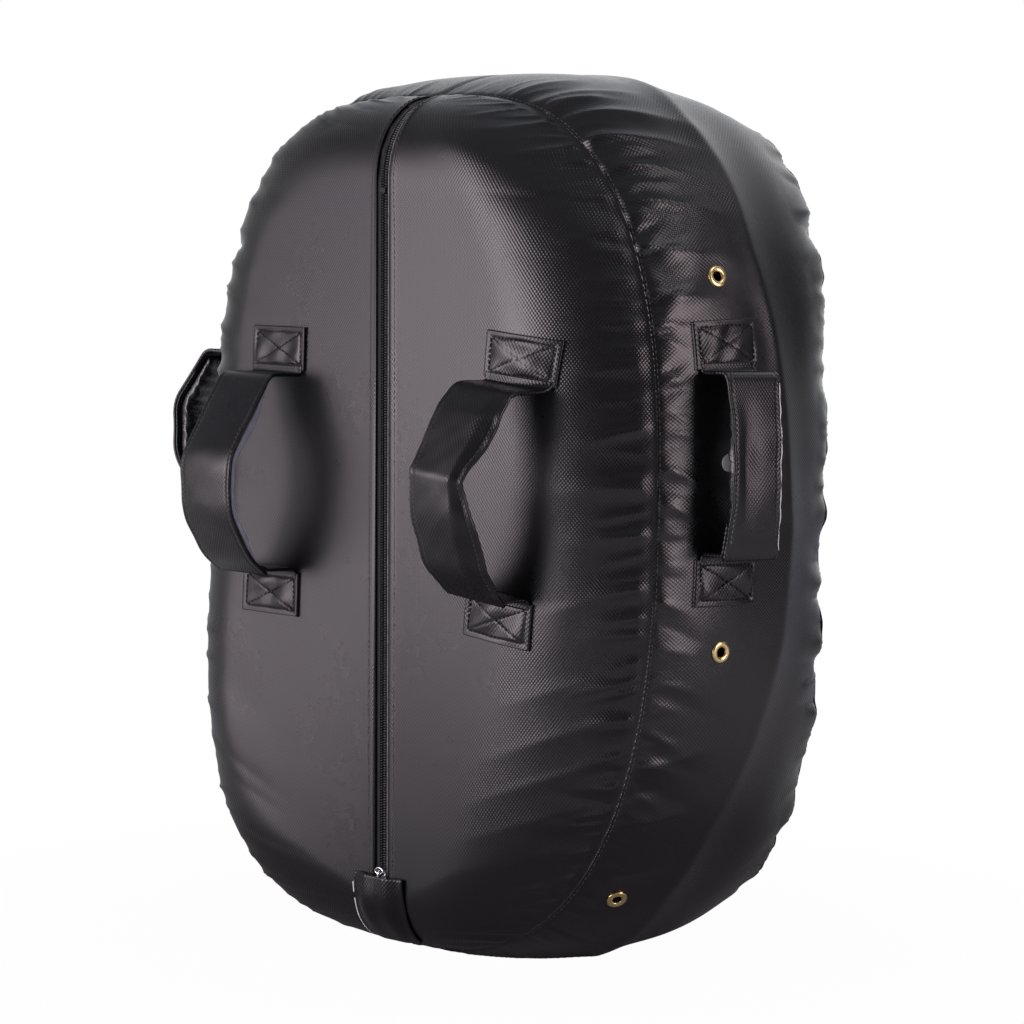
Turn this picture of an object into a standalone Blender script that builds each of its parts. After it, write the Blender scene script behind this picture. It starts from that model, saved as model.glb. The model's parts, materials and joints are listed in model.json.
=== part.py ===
"""Kick shield: a boxed cushion in vinyl with a zipped back, four fold-down strap handles and vent eyelets.

Metres, +Z up. The shield stands on its bottom gusset at the origin. The back panel, with the zip and two
handles, faces -Y, and the strike face faces +Y.
"""

import math

import bmesh
import bpy
import numpy as np
from mathutils import Matrix, Vector

for old in list(bpy.data.objects):
    bpy.data.objects.remove(old, do_unlink=True)

# Cushion
SEAM_WIDTH = 0.410
SEAM_HEIGHT = 0.580
OUTLINE_POWER = 2.75  # of the back seam: 2 is an ellipse, larger is squarer
LEFT_TOP_POWER = 3.3  # the same seam is fuller at its left corners
LEFT_FOOT_POWER = 3.2
RIGHT_FOOT_POWER = 2.45  # and slimmer at its lower right
STRIKE_OUTLINE_POWER = 3.6
STRIKE_FOOT_POWER = 3.3  # of the strike seam below its middle
STRIKE_FOOT_RISE = 0.012  # the strike seam ends this much above the back seam
GUSSET_DEPTH = 0.173
GUSSET_BULGE = 0.020
GUSSET_BULGE_POWER = 2.4
STANDING_DEPTH = 0.017  # how far the bottom bulge is pressed flat
BACK_DOME = 0.0445
BACK_LEAN = 0.034  # the back dome grows by this much per metre of height
BACK_TWIST = 0.400  # the lean lessens by this much per metre towards the left
BACK_EDGE = 0.060  # width of the dome's rounded border
ZIP_END_EDGE = 0.040  # the same border below the zip's straight run
ZIP_END_SPREAD = 0.090
STRIKE_CROWN = 0.022
STRIKE_CROWN_POWER = 2.2
SKIN = 0.0016
GAP = 0.0003  # between pieces that touch
FOAM_EASE = 0.0045  # between the filling and the cover
STRIKE_FOAM_SHARE = 0.22  # part of the gusset's depth taken by the firm layer
GUSSET_JOIN = 0.0004

# Zip
ZIP_SLOT = 0.014
COIL_WIDTH = 0.0025
COIL_HEIGHT = 0.0024
COIL_DEPTH = 0.0011  # from the cover's face down to the coils
COIL_SPACING = 0.0010  # between the two coils, for the slider's web
TOOTH_PITCH = 0.006
TOOTH_CUT = 0.0005
TAPE_THICKNESS = 0.0008
SLIDER_LENGTH = 0.018
SLIDER_WIDTH = 0.0104
SLIDER_PLATE = 0.0014
SLIDER_FLOAT = 0.0004  # between the slider and the coils
SLIDER_REST = -0.244  # below the cushion's middle
WEB_THICKNESS = 0.0004
BRIDGE_WIDTH = 0.0024
BRIDGE_BAR = 0.0011
RING_WIRE = 0.0015
RING_HALF_WIDTH = 0.0036
RING_HALF_HEIGHT = 0.0023
STOP_LENGTH = 0.004
STOP_HEIGHT = 0.0013
ZIP_TRAVEL = 0.455
FLAP_WIDTH = 0.046
FLAP_THICKNESS = 0.0018
FLAP_TOP = -0.2405
FLAP_FOOT = -0.2875
FLAP_CLEARANCE = 0.0050  # over the slider
FLAP_FOOT_LIFT = 0.0005

# Handles
STRAP_WIDTH = {"back": 0.052, "side": 0.045}
STRAP_THICKNESS = 0.0026
LEG_THICKNESS = 0.0022
PATCH_WIDTH = {"back": 0.055, "side": 0.050}
PATCH_LENGTH = 0.030
PATCH_THICKNESS = 0.0022
PATCH_FOLD_ROOM = 0.0030  # from the leg's fold line to its sewn end
PAD_MARGIN = 0.003  # at each edge of the strap
PAD_THICKNESS = 0.0050
PAD_END_THICKNESS = 0.0010
GRIP_END = 0.0016  # from the fold line to the grip's outer face
GRIP_END_INNER = 0.0029
ARCH = ((0.0, 0.0), (0.36, 1.0), (0.70, 0.92), (1.0, 0.0))  # share of the span, share of the rise
BENT_ARCH = ((0.0, 0.0), (0.09, 0.45), (0.47, 1.1), (0.88, 0.26), (1.0, 0.0))  # with one sharp bend
GRIP_ARCH = {"back_left": ARCH, "back_right": BENT_ARCH, "side_left": ARCH, "side_right": ARCH}
PAD_RUN = (0.14, 0.86)
PAD_TAPER = 0.08  # share of the grip
BACK_HANDLE_OFFSET = {"left": (0.107, 0.108), "right": (0.124, 0.110)}  # upper and lower ends
BACK_HANDLE_MIDDLE = 0.031
BACK_HANDLE_SPAN = 0.134
SIDE_HANDLE_MIDDLE = 0.050
SIDE_HANDLE_SPAN = 0.113
SIDE_LINE = 0.29  # share of the gusset's depth from the back seam
LEG_LENGTH = {"back_left": 0.028, "back_right": 0.028, "side_left": 0.044, "side_right": 0.022}
GRIP_RISE = {"back_left": 0.034, "back_right": 0.027, "side_left": 0.028, "side_right": 0.006}

# Eyelets and cap rivets
EYELET_HEIGHTS = {"upper": 0.165, "lower": -0.069, "corner": -0.230}
RIVET_HEIGHT = 0.051
CORNER_LINE = 0.165  # share of the gusset's depth from the back seam
EYELET_DIAMETER = 0.0143
EYELET_HOLE = 0.0064
EYELET_WALL = 0.0005
EYELET_CROWN = 0.0012
WASHER_DIAMETER = 0.0130
WASHER_THICKNESS = 0.0005
RIVET_DIAMETER = 0.0116
RIVET_CROWN = 0.0018
RIVET_POST = 0.0050
FIXING_CLEARANCE = 0.0003
FIXING_CELL = 0.0110  # half the flat facet under each fixing

# Facets
OUTLINE_STEP = 0.034
BACK_ROWS = 24
BACK_SHARES = (0.0, 0.02, 0.06, 0.12, 0.20, 0.30, 0.42, 0.60, 0.80, 1.0)
STRIKE_RINGS = (1.0, 0.94, 0.84, 0.68, 0.46, 0.23)
GUSSET_SHARES = (0.0, 0.05, 0.12, 0.21, 0.37, 0.55, 0.70, 0.84, 0.94, 1.0)
ROUND_SIDES = 16

# Colours
BLACK_VINYL = (0.018, 0.017, 0.018)
BLACK_TAPE = (0.008, 0.008, 0.009)
GREY_FOAM = (0.36, 0.36, 0.42)
CORE_FOAM = (0.62, 0.58, 0.45)
BRASS = (0.72, 0.55, 0.24)
STEEL = (0.72, 0.72, 0.73)

HALF_WIDTH = SEAM_WIDTH / 2
HALF_HEIGHT = SEAM_HEIGHT / 2
MIDDLE_Z = HALF_HEIGHT + GUSSET_BULGE - STANDING_DEPTH
BACK_Y = -GUSSET_DEPTH / 2
FRONT_Y = GUSSET_DEPTH / 2


def material(name, colour, roughness, metallic=0.0):
    made = bpy.data.materials.new(name)
    made.use_nodes = True
    shader = made.node_tree.nodes["Principled BSDF"]
    shader.inputs["Base Color"].default_value = (*colour, 1.0)
    shader.inputs["Roughness"].default_value = roughness
    shader.inputs["Metallic"].default_value = metallic
    return made


def add_object(name, mesh, finish, frame=None, parent=None):
    obj = bpy.data.objects.new(name, mesh)
    bpy.context.scene.collection.objects.link(obj)
    mesh.materials.append(material(name, *finish))
    mesh.shade_smooth()
    mesh.set_sharp_from_angle(angle=math.radians(35))
    if parent is not None:
        obj.parent = parent
    if frame is not None:
        obj.matrix_world = frame
    return obj


def add_empty(name, frame):
    empty = bpy.data.objects.new(name, None)
    empty.empty_display_size = 0.02
    bpy.context.scene.collection.objects.link(empty)
    empty.matrix_world = frame
    return empty


def closed_mesh(name, build):
    """A mesh from a bmesh that is welded, cleaned and turned to face outwards."""
    bmesh.ops.remove_doubles(build, verts=build.verts, dist=1e-7)
    bmesh.ops.dissolve_degenerate(build, edges=build.edges, dist=1e-7)
    bmesh.ops.recalc_face_normals(build, faces=build.faces)
    mesh = bpy.data.meshes.new(name)
    build.to_mesh(mesh)
    build.free()
    return mesh


def sheet_mesh(name, outer, inner, centre=Vector()):
    """A closed solid between two grids of points, with walls along its four edges."""
    build = bmesh.new()
    rows, columns = len(outer), len(outer[0])
    top = [[build.verts.new(Vector(p) - centre) for p in row] for row in outer]
    bottom = [[build.verts.new(Vector(p) - centre) for p in row] for row in inner]
    for i in range(rows - 1):
        for j in range(columns - 1):
            build.faces.new((top[i][j], top[i + 1][j], top[i + 1][j + 1], top[i][j + 1]))
            build.faces.new((bottom[i][j], bottom[i][j + 1], bottom[i + 1][j + 1], bottom[i + 1][j]))
    rim = [(i, 0) for i in range(rows)]
    rim += [(rows - 1, j) for j in range(1, columns)]
    rim += [(i, columns - 1) for i in range(rows - 2, -1, -1)]
    rim += [(0, j) for j in range(columns - 2, 0, -1)]
    for (i, j), (k, m) in zip(rim, rim[1:] + rim[:1]):
        build.faces.new((top[i][j], bottom[i][j], bottom[k][m], top[k][m]))
    return closed_mesh(name, build)


def ring_mesh(name, rings, start, end):
    """A closed solid lofted through rings of points, with a pole at each end."""
    build = bmesh.new()
    loops = [[build.verts.new(p) for p in ring] for ring in rings]
    count = len(loops[0])
    for loop, pole in ((loops[0], build.verts.new(start)), (loops[-1], build.verts.new(end))):
        for i in range(count):
            build.faces.new((pole, loop[i], loop[(i + 1) % count]))
    for first, second in zip(loops, loops[1:]):
        for i in range(count):
            j = (i + 1) % count
            build.faces.new((first[i], first[j], second[j], second[i]))
    return closed_mesh(name, build)


def prism_mesh(name, outline, half_width):
    """An outline in the local YZ plane, extruded both ways along local X."""
    build = bmesh.new()
    face = build.faces.new([build.verts.new((-half_width, y, z)) for y, z in outline])
    made = bmesh.ops.extrude_face_region(build, geom=[face])
    moved = [item for item in made["geom"] if isinstance(item, bmesh.types.BMVert)]
    bmesh.ops.translate(build, verts=moved, vec=(2 * half_width, 0, 0))
    return closed_mesh(name, build)


def turned_mesh(name, profile, sides=ROUND_SIDES):
    """A closed (radius, height) profile spun about local Z. Points on the axis are welded."""
    build = bmesh.new()
    loop = [build.verts.new((radius, 0, height)) for radius, height in profile]
    edges = [build.edges.new((a, b)) for a, b in zip(loop, loop[1:] + loop[:1])]
    bmesh.ops.spin(
        build, geom=loop + edges, cent=(0, 0, 0), axis=(0, 0, 1), angle=2 * math.pi, steps=sides, use_merge=True
    )
    return closed_mesh(name, build)


def box_mesh(name, low, high):
    build = bmesh.new()
    size = Vector(high) - Vector(low)
    bmesh.ops.create_cube(build, size=1.0, matrix=Matrix.Diagonal((*size, 1)))
    bmesh.ops.translate(build, verts=build.verts, vec=(Vector(high) + Vector(low)) / 2)
    return closed_mesh(name, build)


def frame_of(origin, x_axis, y_axis, z_axis):
    turn = Matrix((x_axis, y_axis, z_axis)).transposed().to_4x4()
    return Matrix.Translation(origin) @ turn


def seam_curve(top, foot, left_top, left_foot, foot_rise=0.0):
    """A seam's points and its arc lengths from the top middle towards +X, with a power for each quarter."""
    angles = np.linspace(0, 2 * math.pi, 6001)
    upper, right = np.cos(angles) > 0, np.sin(angles) > 0
    power = np.where(right, np.where(upper, top, foot), np.where(upper, left_top, left_foot))
    curve_x = HALF_WIDTH * np.sign(np.sin(angles)) * np.abs(np.sin(angles)) ** (2 / power)
    height = np.where(upper, HALF_HEIGHT, HALF_HEIGHT - foot_rise)
    curve_z = height * np.sign(np.cos(angles)) * np.abs(np.cos(angles)) ** (2 / power)
    lengths = np.concatenate([[0], np.cumsum(np.hypot(np.diff(curve_x), np.diff(curve_z)))])
    return curve_x, curve_z, lengths


BACK_SEAM = seam_curve(OUTLINE_POWER, RIGHT_FOOT_POWER, LEFT_TOP_POWER, LEFT_FOOT_POWER)
STRIKE_POWERS = (STRIKE_OUTLINE_POWER, STRIKE_FOOT_POWER)
STRIKE_SEAM = seam_curve(*STRIKE_POWERS, *STRIKE_POWERS, STRIKE_FOOT_RISE)
PERIMETER = float(BACK_SEAM[2][-1])
RIGHT_LENGTH = float(BACK_SEAM[2][len(BACK_SEAM[2]) // 2])  # of the seam's right half


def outline_at(length, share=0.0):
    """The outline part of the way from the back seam to the strike seam, by arc length on the back seam."""
    spot = np.zeros(2)
    for (curve_x, curve_z, lengths), weight in ((BACK_SEAM, 1 - share), (STRIKE_SEAM, share)):
        half = lengths[len(lengths) // 2]
        reach = length % PERIMETER
        if reach <= RIGHT_LENGTH:
            along = half * reach / RIGHT_LENGTH
        else:
            along = half + (lengths[-1] - half) * (reach - RIGHT_LENGTH) / (PERIMETER - RIGHT_LENGTH)
        spot += weight * np.array([np.interp(along, lengths, curve_x), np.interp(along, lengths, curve_z)])
    return float(spot[0]), float(spot[1])


def outline_normal(length, share=0.0):
    step = 0.002
    x0, z0 = outline_at(length - step, share)
    x1, z1 = outline_at(length + step, share)
    normal = Vector((z0 - z1, 0, x1 - x0)).normalized()
    return normal if normal.dot(Vector((x1, 0, z1))) > 0 else -normal


def length_at_height(height, side):
    """Arc length of the back seam's point at this height on the +X or -X side."""
    _, curve_z, lengths = BACK_SEAM
    half = len(curve_z) // 2
    if side > 0:
        return float(np.interp(-height, -curve_z[: half + 1], lengths[: half + 1]))
    return float(np.interp(height, curve_z[half:], lengths[half:]))


# Gusset: the strip between the two seams
def gusset_bulge(share):
    return GUSSET_BULGE * (1 - abs(2 * share - 1) ** GUSSET_BULGE_POWER)


def gusset_point(length, share, lift=0.0):
    x, z = outline_at(length, share)
    out = outline_normal(length, share) * (gusset_bulge(share) + lift)
    return Vector((x + out.x, BACK_Y + share * GUSSET_DEPTH, MIDDLE_Z + z + out.z))


def standing(point, lowest):
    return Vector((point.x, point.y, max(point.z, lowest)))


def filled(breaks, step):
    """The breaks, with even steps of about this size between them."""
    values = [breaks[0]]
    for first, second in zip(breaks, breaks[1:]):
        count = max(1, round((second - first) / step))
        values += [first + (second - first) * i / count for i in range(1, count + 1)]
    return values


FIXING_LINES = {"corner": CORNER_LINE}
FIXINGS = {
    f"{place}_{'right' if side > 0 else 'left'}": (length_at_height(height, side), FIXING_LINES.get(place, SIDE_LINE))
    for side in (1, -1)
    for place, height in {**EYELET_HEIGHTS, "rivet": RIVET_HEIGHT}.items()
}
gusset_breaks = sorted(
    [GUSSET_JOIN / 2, RIGHT_LENGTH, PERIMETER - GUSSET_JOIN / 2]
    + [length + sign * FIXING_CELL for length, _ in FIXINGS.values() for sign in (-1, 1)]
)
gusset_lengths = filled(gusset_breaks, OUTLINE_STEP)


def gusset_grid(lift, lowest):
    grid = []
    for length in gusset_lengths:
        row = [standing(gusset_point(length, share, lift), lowest) for share in GUSSET_SHARES]
        row[0].y += GAP / 2
        row[-1].y -= GAP
        grid.append(row)
    return grid


gusset_outer = gusset_grid(0, 0)
gusset_inner = gusset_grid(-SKIN, SKIN)


def fixing_frame(length, line):
    """On the middle of the flat facet under a fixing, with local Z outwards."""
    i = max(k for k, value in enumerate(gusset_lengths) if value <= length)
    j = max(k for k, value in enumerate(GUSSET_SHARES) if value <= line)
    corners = [gusset_outer[i][j], gusset_outer[i + 1][j], gusset_outer[i + 1][j + 1], gusset_outer[i][j + 1]]
    centre = sum(corners, Vector()) / 4
    outward = (corners[2] - corners[0]).cross(corners[3] - corners[1]).normalized()
    if outward.dot(outline_normal(length)) < 0:
        outward = -outward
    across = (corners[3] - corners[0]).normalized()
    across = (across - outward * across.dot(outward)).normalized()
    return frame_of(centre, across, outward.cross(across), outward)


# Back panel: a dome over the back seam
def back_rise(x, z):
    power = OUTLINE_POWER if z > 0 else RIGHT_FOOT_POWER
    if x < 0:
        power = LEFT_TOP_POWER if z > 0 else LEFT_FOOT_POWER
    share = ((abs(x) / HALF_WIDTH) ** power + (abs(z) / HALF_HEIGHT) ** power) ** (1 / power)
    full = BACK_DOME + (BACK_LEAN + BACK_TWIST * min(x, 0)) * z
    if share < 1e-6:
        return full
    inwards = math.hypot(x, z) * max(0.0, 1 / share - 1)
    near = 1 - min(abs(x) / ZIP_END_SPREAD, 1)
    blend = near * near * (3 - 2 * near) if z < 0 else 0
    edge = BACK_EDGE + (ZIP_END_EDGE - BACK_EDGE) * blend
    return full * math.sqrt(1 - (1 - min(inwards / edge, 1)) ** 2)


def back_normal(x, z):
    step = 0.0004
    slope_x = (back_rise(x + step, z) - back_rise(x - step, z)) / (2 * step)
    slope_z = (back_rise(x, z + step) - back_rise(x, z - step)) / (2 * step)
    return Vector((-slope_x, -1, -slope_z)).normalized()


def back_point(x, z, lift=0.0):
    point = Vector((x, BACK_Y - back_rise(x, z), MIDDLE_Z + z))
    return point + back_normal(x, z) * lift


SLOT_LENGTH = ZIP_SLOT / 2  # arc length from the top middle to the slot's edge: the outline is level there
ZIP_STATIONS = [outline_at(SLOT_LENGTH)[1] * math.cos(math.pi * i / BACK_ROWS) for i in range(BACK_ROWS + 1)]


def back_panel(side):
    """One half of the back: ruled from the seam in to the slot, on a rounded surface."""
    outer, inner = [], []
    for i, station in enumerate(ZIP_STATIONS):
        half = RIGHT_LENGTH if side > 0 else PERIMETER - RIGHT_LENGTH
        length = SLOT_LENGTH + (half - 2 * SLOT_LENGTH) * i / BACK_ROWS
        length = length if side > 0 else PERIMETER - length
        x, z = outline_at(length)
        seam = outline_normal(length)
        faces, backs = [], []
        for share in BACK_SHARES:
            u = x + (side * ZIP_SLOT / 2 - x) * share
            v = z + (station - z) * share
            if share == 0 or i in (0, BACK_ROWS):
                point = Vector((u, BACK_Y - GAP / 2, MIDDLE_Z + v))
                below = point - seam * SKIN
            else:
                point, below = back_point(u, v), back_point(u, v, -SKIN)
            faces.append(point)
            backs.append(below)
        outer.append(faces)
        inner.append(backs)
    return outer, inner


vinyl = (BLACK_VINYL, 0.42)
for side, name in ((-1, "back_panel_left"), (1, "back_panel_right")):
    add_object(name, sheet_mesh(name, *back_panel(side)), vinyl)

gusset = add_object("gusset", sheet_mesh("gusset", gusset_outer, gusset_inner), vinyl)


# Strike panel and the filling
def strike_crown(share):
    return STRIKE_CROWN * (1 - share**STRIKE_CROWN_POWER)


ring_lengths = filled([0, RIGHT_LENGTH, PERIMETER], OUTLINE_STEP)[:-1]


def flat_ring(share, y, seam, inset=0.0):
    """A ring at this share of the way out to the back seam (0) or the strike seam (1)."""
    ring = []
    for length in ring_lengths:
        x, z = outline_at(length, seam)
        edge = Vector((x, 0, z)) - outline_normal(length, seam) * inset
        ring.append(Vector((edge.x * share, y, MIDDLE_Z + edge.z * share)))
    return ring


def barrel_ring(share, inset):
    ring = [gusset_point(length, share, -inset) for length in ring_lengths]
    return [standing(point, inset) for point in ring]


def strike_panel():
    outer = [flat_ring(share, FRONT_Y + SKIN + strike_crown(share), 1) for share in reversed(STRIKE_RINGS)]
    inner = [flat_ring(share, FRONT_Y + strike_crown(share), 1) for share in STRIKE_RINGS]
    start = Vector((0, FRONT_Y + SKIN + STRIKE_CROWN, MIDDLE_Z))
    end = Vector((0, FRONT_Y + STRIKE_CROWN, MIDDLE_Z))
    return ring_mesh("strike_panel", outer + inner, start, end)


add_object("strike_panel", strike_panel(), vinyl)

foam_inset = SKIN + FOAM_EASE
firm_share = 1 - STRIKE_FOAM_SHARE
firm_y = BACK_Y + firm_share * GUSSET_DEPTH


def strike_foam():
    front = [
        flat_ring(share, FRONT_Y - GAP + strike_crown(share), 1, foam_inset) for share in reversed(STRIKE_RINGS)
    ]
    sides = [barrel_ring(share, foam_inset) for share in (0.94, 0.88, firm_share)]
    start = Vector((0, FRONT_Y - GAP + STRIKE_CROWN, MIDDLE_Z))
    return ring_mesh("strike_foam", front + sides, start, Vector((0, firm_y, MIDDLE_Z)))


def core_foam():
    shares = [firm_share - GAP / GUSSET_DEPTH, 0.62, 0.46, 0.30, 0.16, 0.06, GAP / GUSSET_DEPTH]
    rings = [barrel_ring(share, foam_inset) for share in shares]
    start = Vector((0, firm_y - GAP, MIDDLE_Z))
    return ring_mesh("core_foam", rings, start, Vector((0, BACK_Y + GAP, MIDDLE_Z)))


def back_foam():
    rings = [flat_ring(1.0, BACK_Y, 0, foam_inset)]
    for share in (0.985, 0.95, 0.89, 0.80, 0.69, 0.5, 0.25):
        ring = []
        for length in ring_lengths:
            x, z = outline_at(length)
            ring.append(back_point(x * share, z * share, -foam_inset))
        rings.append(ring)
    top = back_point(0, 0, -foam_inset)
    return ring_mesh("back_foam", rings, Vector((0, BACK_Y, MIDDLE_Z)), top)


add_object("strike_foam", strike_foam(), (GREY_FOAM, 0.9))
add_object("core_foam", core_foam(), (CORE_FOAM, 0.95))
filling = add_object("back_foam", back_foam(), (CORE_FOAM, 0.95))


def cut(target, mesh, frame=None):
    cutter = add_object(mesh.name, mesh, (STEEL, 0.5), frame)
    cutter.hide_render = True
    cutter.display_type = "WIRE"
    boolean = target.modifiers.new(mesh.name, "BOOLEAN")
    boolean.operation = "DIFFERENCE"
    boolean.object = cutter
    return cutter


# Zip: two coils, two tapes, stops and the slider
def zip_strip(name, columns, tooth=None):
    """A strip along the slot; columns are (x, face, underside) below the cover's face."""
    stations = []
    for first, second in zip(ZIP_STATIONS[1:], ZIP_STATIONS[2:-1]):
        count = 1 if tooth is None else max(1, round((first - second) / (tooth / 2)))
        stations += [first + (second - first) * i / count for i in range(count)]
    stations.append(ZIP_STATIONS[-2])
    outer, inner = [], []
    for i, z in enumerate(stations):
        drop = TOOTH_CUT if tooth is not None and i % 2 else 0
        outer.append([zip_point(x, z, -(face + drop)) for x, face, _ in columns])
        inner.append([zip_point(x, z, -(under - drop)) for x, _, under in columns])
    return sheet_mesh(name, outer, inner)


def zip_point(x, z, lift):
    """Over the slot the line of the zip is level from side to side."""
    point = back_point(0, z, lift)
    return Vector((x, point.y, point.z))


coil_top = COIL_DEPTH
coil_foot = COIL_DEPTH + COIL_HEIGHT
tape_top = (coil_top + coil_foot - TAPE_THICKNESS) / 2
coil_inner = COIL_SPACING / 2
coil_outer = coil_inner + COIL_WIDTH
tape_inner = coil_outer + GAP
tape_outer = ZIP_SLOT / 2 - GAP
for side, word in ((-1, "left"), (1, "right")):
    coil = [(side * x, coil_top, coil_foot) for x in (coil_inner, coil_outer)]
    tape = [(side * x, tape_top, tape_top + TAPE_THICKNESS) for x in (tape_inner, tape_outer)]
    add_object(f"zip_coil_{word}", zip_strip(f"zip_coil_{word}", coil, TOOTH_PITCH), (BLACK_TAPE, 0.4))
    add_object(f"zip_tape_{word}", zip_strip(f"zip_tape_{word}", tape), (BLACK_TAPE, 0.8))

foam_slot_depth = coil_foot + SLIDER_FLOAT + SLIDER_PLATE + 2 * SLIDER_FLOAT
slot_floor = [zip_point(0, z, -foam_slot_depth) for z in ZIP_STATIONS[1:-1]]
slot_sky = BACK_Y - BACK_DOME - 0.05
slot_outline = [(point.y, point.z) for point in slot_floor]
slot_outline += [(slot_sky, slot_floor[-1].z), (slot_sky, slot_floor[0].z)]
cut(filling, prism_mesh("foam_slot_cutter", slot_outline, ZIP_SLOT / 2 + GAP))


def zip_frame(z):
    """On the cover's face over the zip: local X across, Y up along the zip, Z outwards."""
    along = (zip_point(0, 0.01, 0) - zip_point(0, -0.01, 0)).normalized()
    if z < -HALF_HEIGHT + ZIP_END_EDGE or z > HALF_HEIGHT - BACK_EDGE:
        along = (zip_point(0, z + 0.001, 0) - zip_point(0, z - 0.001, 0)).normalized()
    across = Vector((1, 0, 0))
    return frame_of(zip_point(0, z, 0), across, along, across.cross(along))


def union(base, mesh):
    """Joins a second closed mesh to the base object."""
    other = cut(base, mesh, base.matrix_world)
    base.modifiers[other.name].operation = "UNION"


def slider():
    half = SLIDER_LENGTH / 2
    plate_foot = -(coil_top - SLIDER_FLOAT)
    plate_top = plate_foot + SLIDER_PLATE
    base_top = -(coil_foot + SLIDER_FLOAT)
    base_foot = base_top - SLIDER_PLATE
    wide = SLIDER_WIDTH / 2
    frame = zip_frame(SLIDER_REST)
    body = add_object(
        "zip_slider", box_mesh("zip_slider", (-wide, -half, plate_foot), (wide, half, plate_top)), (STEEL, 0.3, 1.0), frame
    )
    thin = WEB_THICKNESS / 2
    bite = 0.0002
    union(body, box_mesh("slider_web", (-thin, -half, base_top - bite), (thin, half, plate_foot + bite)))
    union(body, box_mesh("slider_base", (-wide, -half, base_foot), (wide, half, base_top)))
    foot = plate_top - bite
    eye = RING_WIRE + 2 * FIXING_CLEARANCE
    low, high = RING_EYE_Y - eye, RING_EYE_Y + eye / 2
    roof = plate_top + eye
    bridge = [(low - 2 * BRIDGE_BAR, foot), (low - 2 * BRIDGE_BAR, roof), (low - BRIDGE_BAR, roof + BRIDGE_BAR)]
    bridge += [(high, roof + BRIDGE_BAR), (high + BRIDGE_BAR, roof), (high + BRIDGE_BAR, foot)]
    bridge += [(high, foot), (high, roof), (low, roof), (low, foot)]
    union(body, prism_mesh("slider_bridge", bridge, BRIDGE_WIDTH / 2))
    return frame, plate_top + eye / 2


RING_EYE_Y = SLIDER_LENGTH / 2 - 0.0032
slider_frame, ring_height = slider()


def pull_ring():
    """An oval wire ring, its lower side in the slider's eye and the rest lying up along the zip."""
    build = bmesh.new()
    loops = []
    steps, sides = 20, 6
    for i in range(steps):
        turn = 2 * math.pi * i / steps
        spot = Vector((RING_HALF_WIDTH * math.sin(turn), RING_HALF_HEIGHT * (1 - math.cos(turn)), 0))
        out = Vector((RING_HALF_HEIGHT * math.sin(turn), -RING_HALF_WIDTH * math.cos(turn), 0)).normalized()
        loop = []
        for k in range(sides):
            bend = 2 * math.pi * k / sides
            loop.append(build.verts.new(spot + (out * math.cos(bend) + Vector((0, 0, 1)) * math.sin(bend)) * RING_WIRE / 2))
        loops.append(loop)
    for first, second in zip(loops, loops[1:] + loops[:1]):
        for k in range(sides):
            m = (k + 1) % sides
            build.faces.new((first[k], first[m], second[m], second[k]))
    return closed_mesh("zip_pull_ring", build)


ring_frame = slider_frame @ Matrix.Translation((0, RING_EYE_Y, ring_height))
add_object("zip_pull_ring", pull_ring(), (STEEL, 0.2, 1.0), ring_frame)

stop_low = -(coil_top - GAP)
for name, z in (
    ("zip_bottom_stop", SLIDER_REST - SLIDER_LENGTH / 2 - STOP_LENGTH),
    ("zip_top_stop", SLIDER_REST + ZIP_TRAVEL + SLIDER_LENGTH / 2 + STOP_LENGTH),
):
    block = box_mesh(
        name, (-coil_outer, -STOP_LENGTH / 2, stop_low), (coil_outer, STOP_LENGTH / 2, stop_low + STOP_HEIGHT)
    )
    add_object(name, block, (STEEL, 0.35, 1.0), zip_frame(z))


def garage_flap():
    """The flap over the slider, sewn in the bottom seam; its origin is on its fold line."""
    foot = back_point(0, FLAP_FOOT, FLAP_FOOT_LIFT)
    outer, inner = [], []
    rows = 9
    level = SLIDER_REST - SLIDER_LENGTH / 2 - STOP_LENGTH
    for i in range(rows + 1):
        z = FLAP_TOP + (FLAP_FOOT - FLAP_TOP) * math.sin(math.pi / 2 * i / rows)
        fall = max(0.0, min(1.0, (level - z) / (level - FLAP_FOOT)))
        lift = FLAP_CLEARANCE + (FLAP_FOOT_LIFT - FLAP_CLEARANCE) * fall * fall * (3 - 2 * fall)
        spots = [FLAP_WIDTH * (k / 4 - 0.5) for k in range(5)]
        low, high = zip_point(0, z, lift), zip_point(0, z, lift + FLAP_THICKNESS)
        inner.append([Vector((x, low.y, low.z)) for x in spots])
        outer.append([Vector((x, high.y, high.z)) for x in spots])
    mesh = sheet_mesh("zip_garage_flap", outer, inner, foot)
    add_object("zip_garage_flap", mesh, vinyl, Matrix.Translation(foot))


garage_flap()


# Handles: two sewn ends, two legs that fold at their roots, and a padded grip between the legs
def offset_line(points, distance):
    """The polyline moved sideways, mitred at its bends."""
    moved = []
    for i, point in enumerate(points):
        before = (point - points[max(i - 1, 0)]).normalized()
        after = (points[min(i + 1, len(points) - 1)] - point).normalized()
        if before.length == 0:
            before = after
        if after.length == 0:
            after = before
        normal = Vector((-before.y, before.x)) + Vector((-after.y, after.x))
        normal.normalize()
        shorten = normal.dot(Vector((-before.y, before.x)))
        moved.append(point + normal * (distance / shorten))
    return moved


def along_line(points, share):
    runs = [(b - a).length for a, b in zip(points, points[1:])]
    left = share * sum(runs)
    for a, b, run in zip(points, points[1:], runs):
        if left <= run:
            return a + (b - a) * (left / run)
        left -= run
    return points[-1]


def shortened(points, cut_length):
    start = points[0] + (points[1] - points[0]).normalized() * cut_length
    end = points[-1] + (points[-2] - points[-1]).normalized() * cut_length
    return [start] + points[1:-1] + [end]


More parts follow.
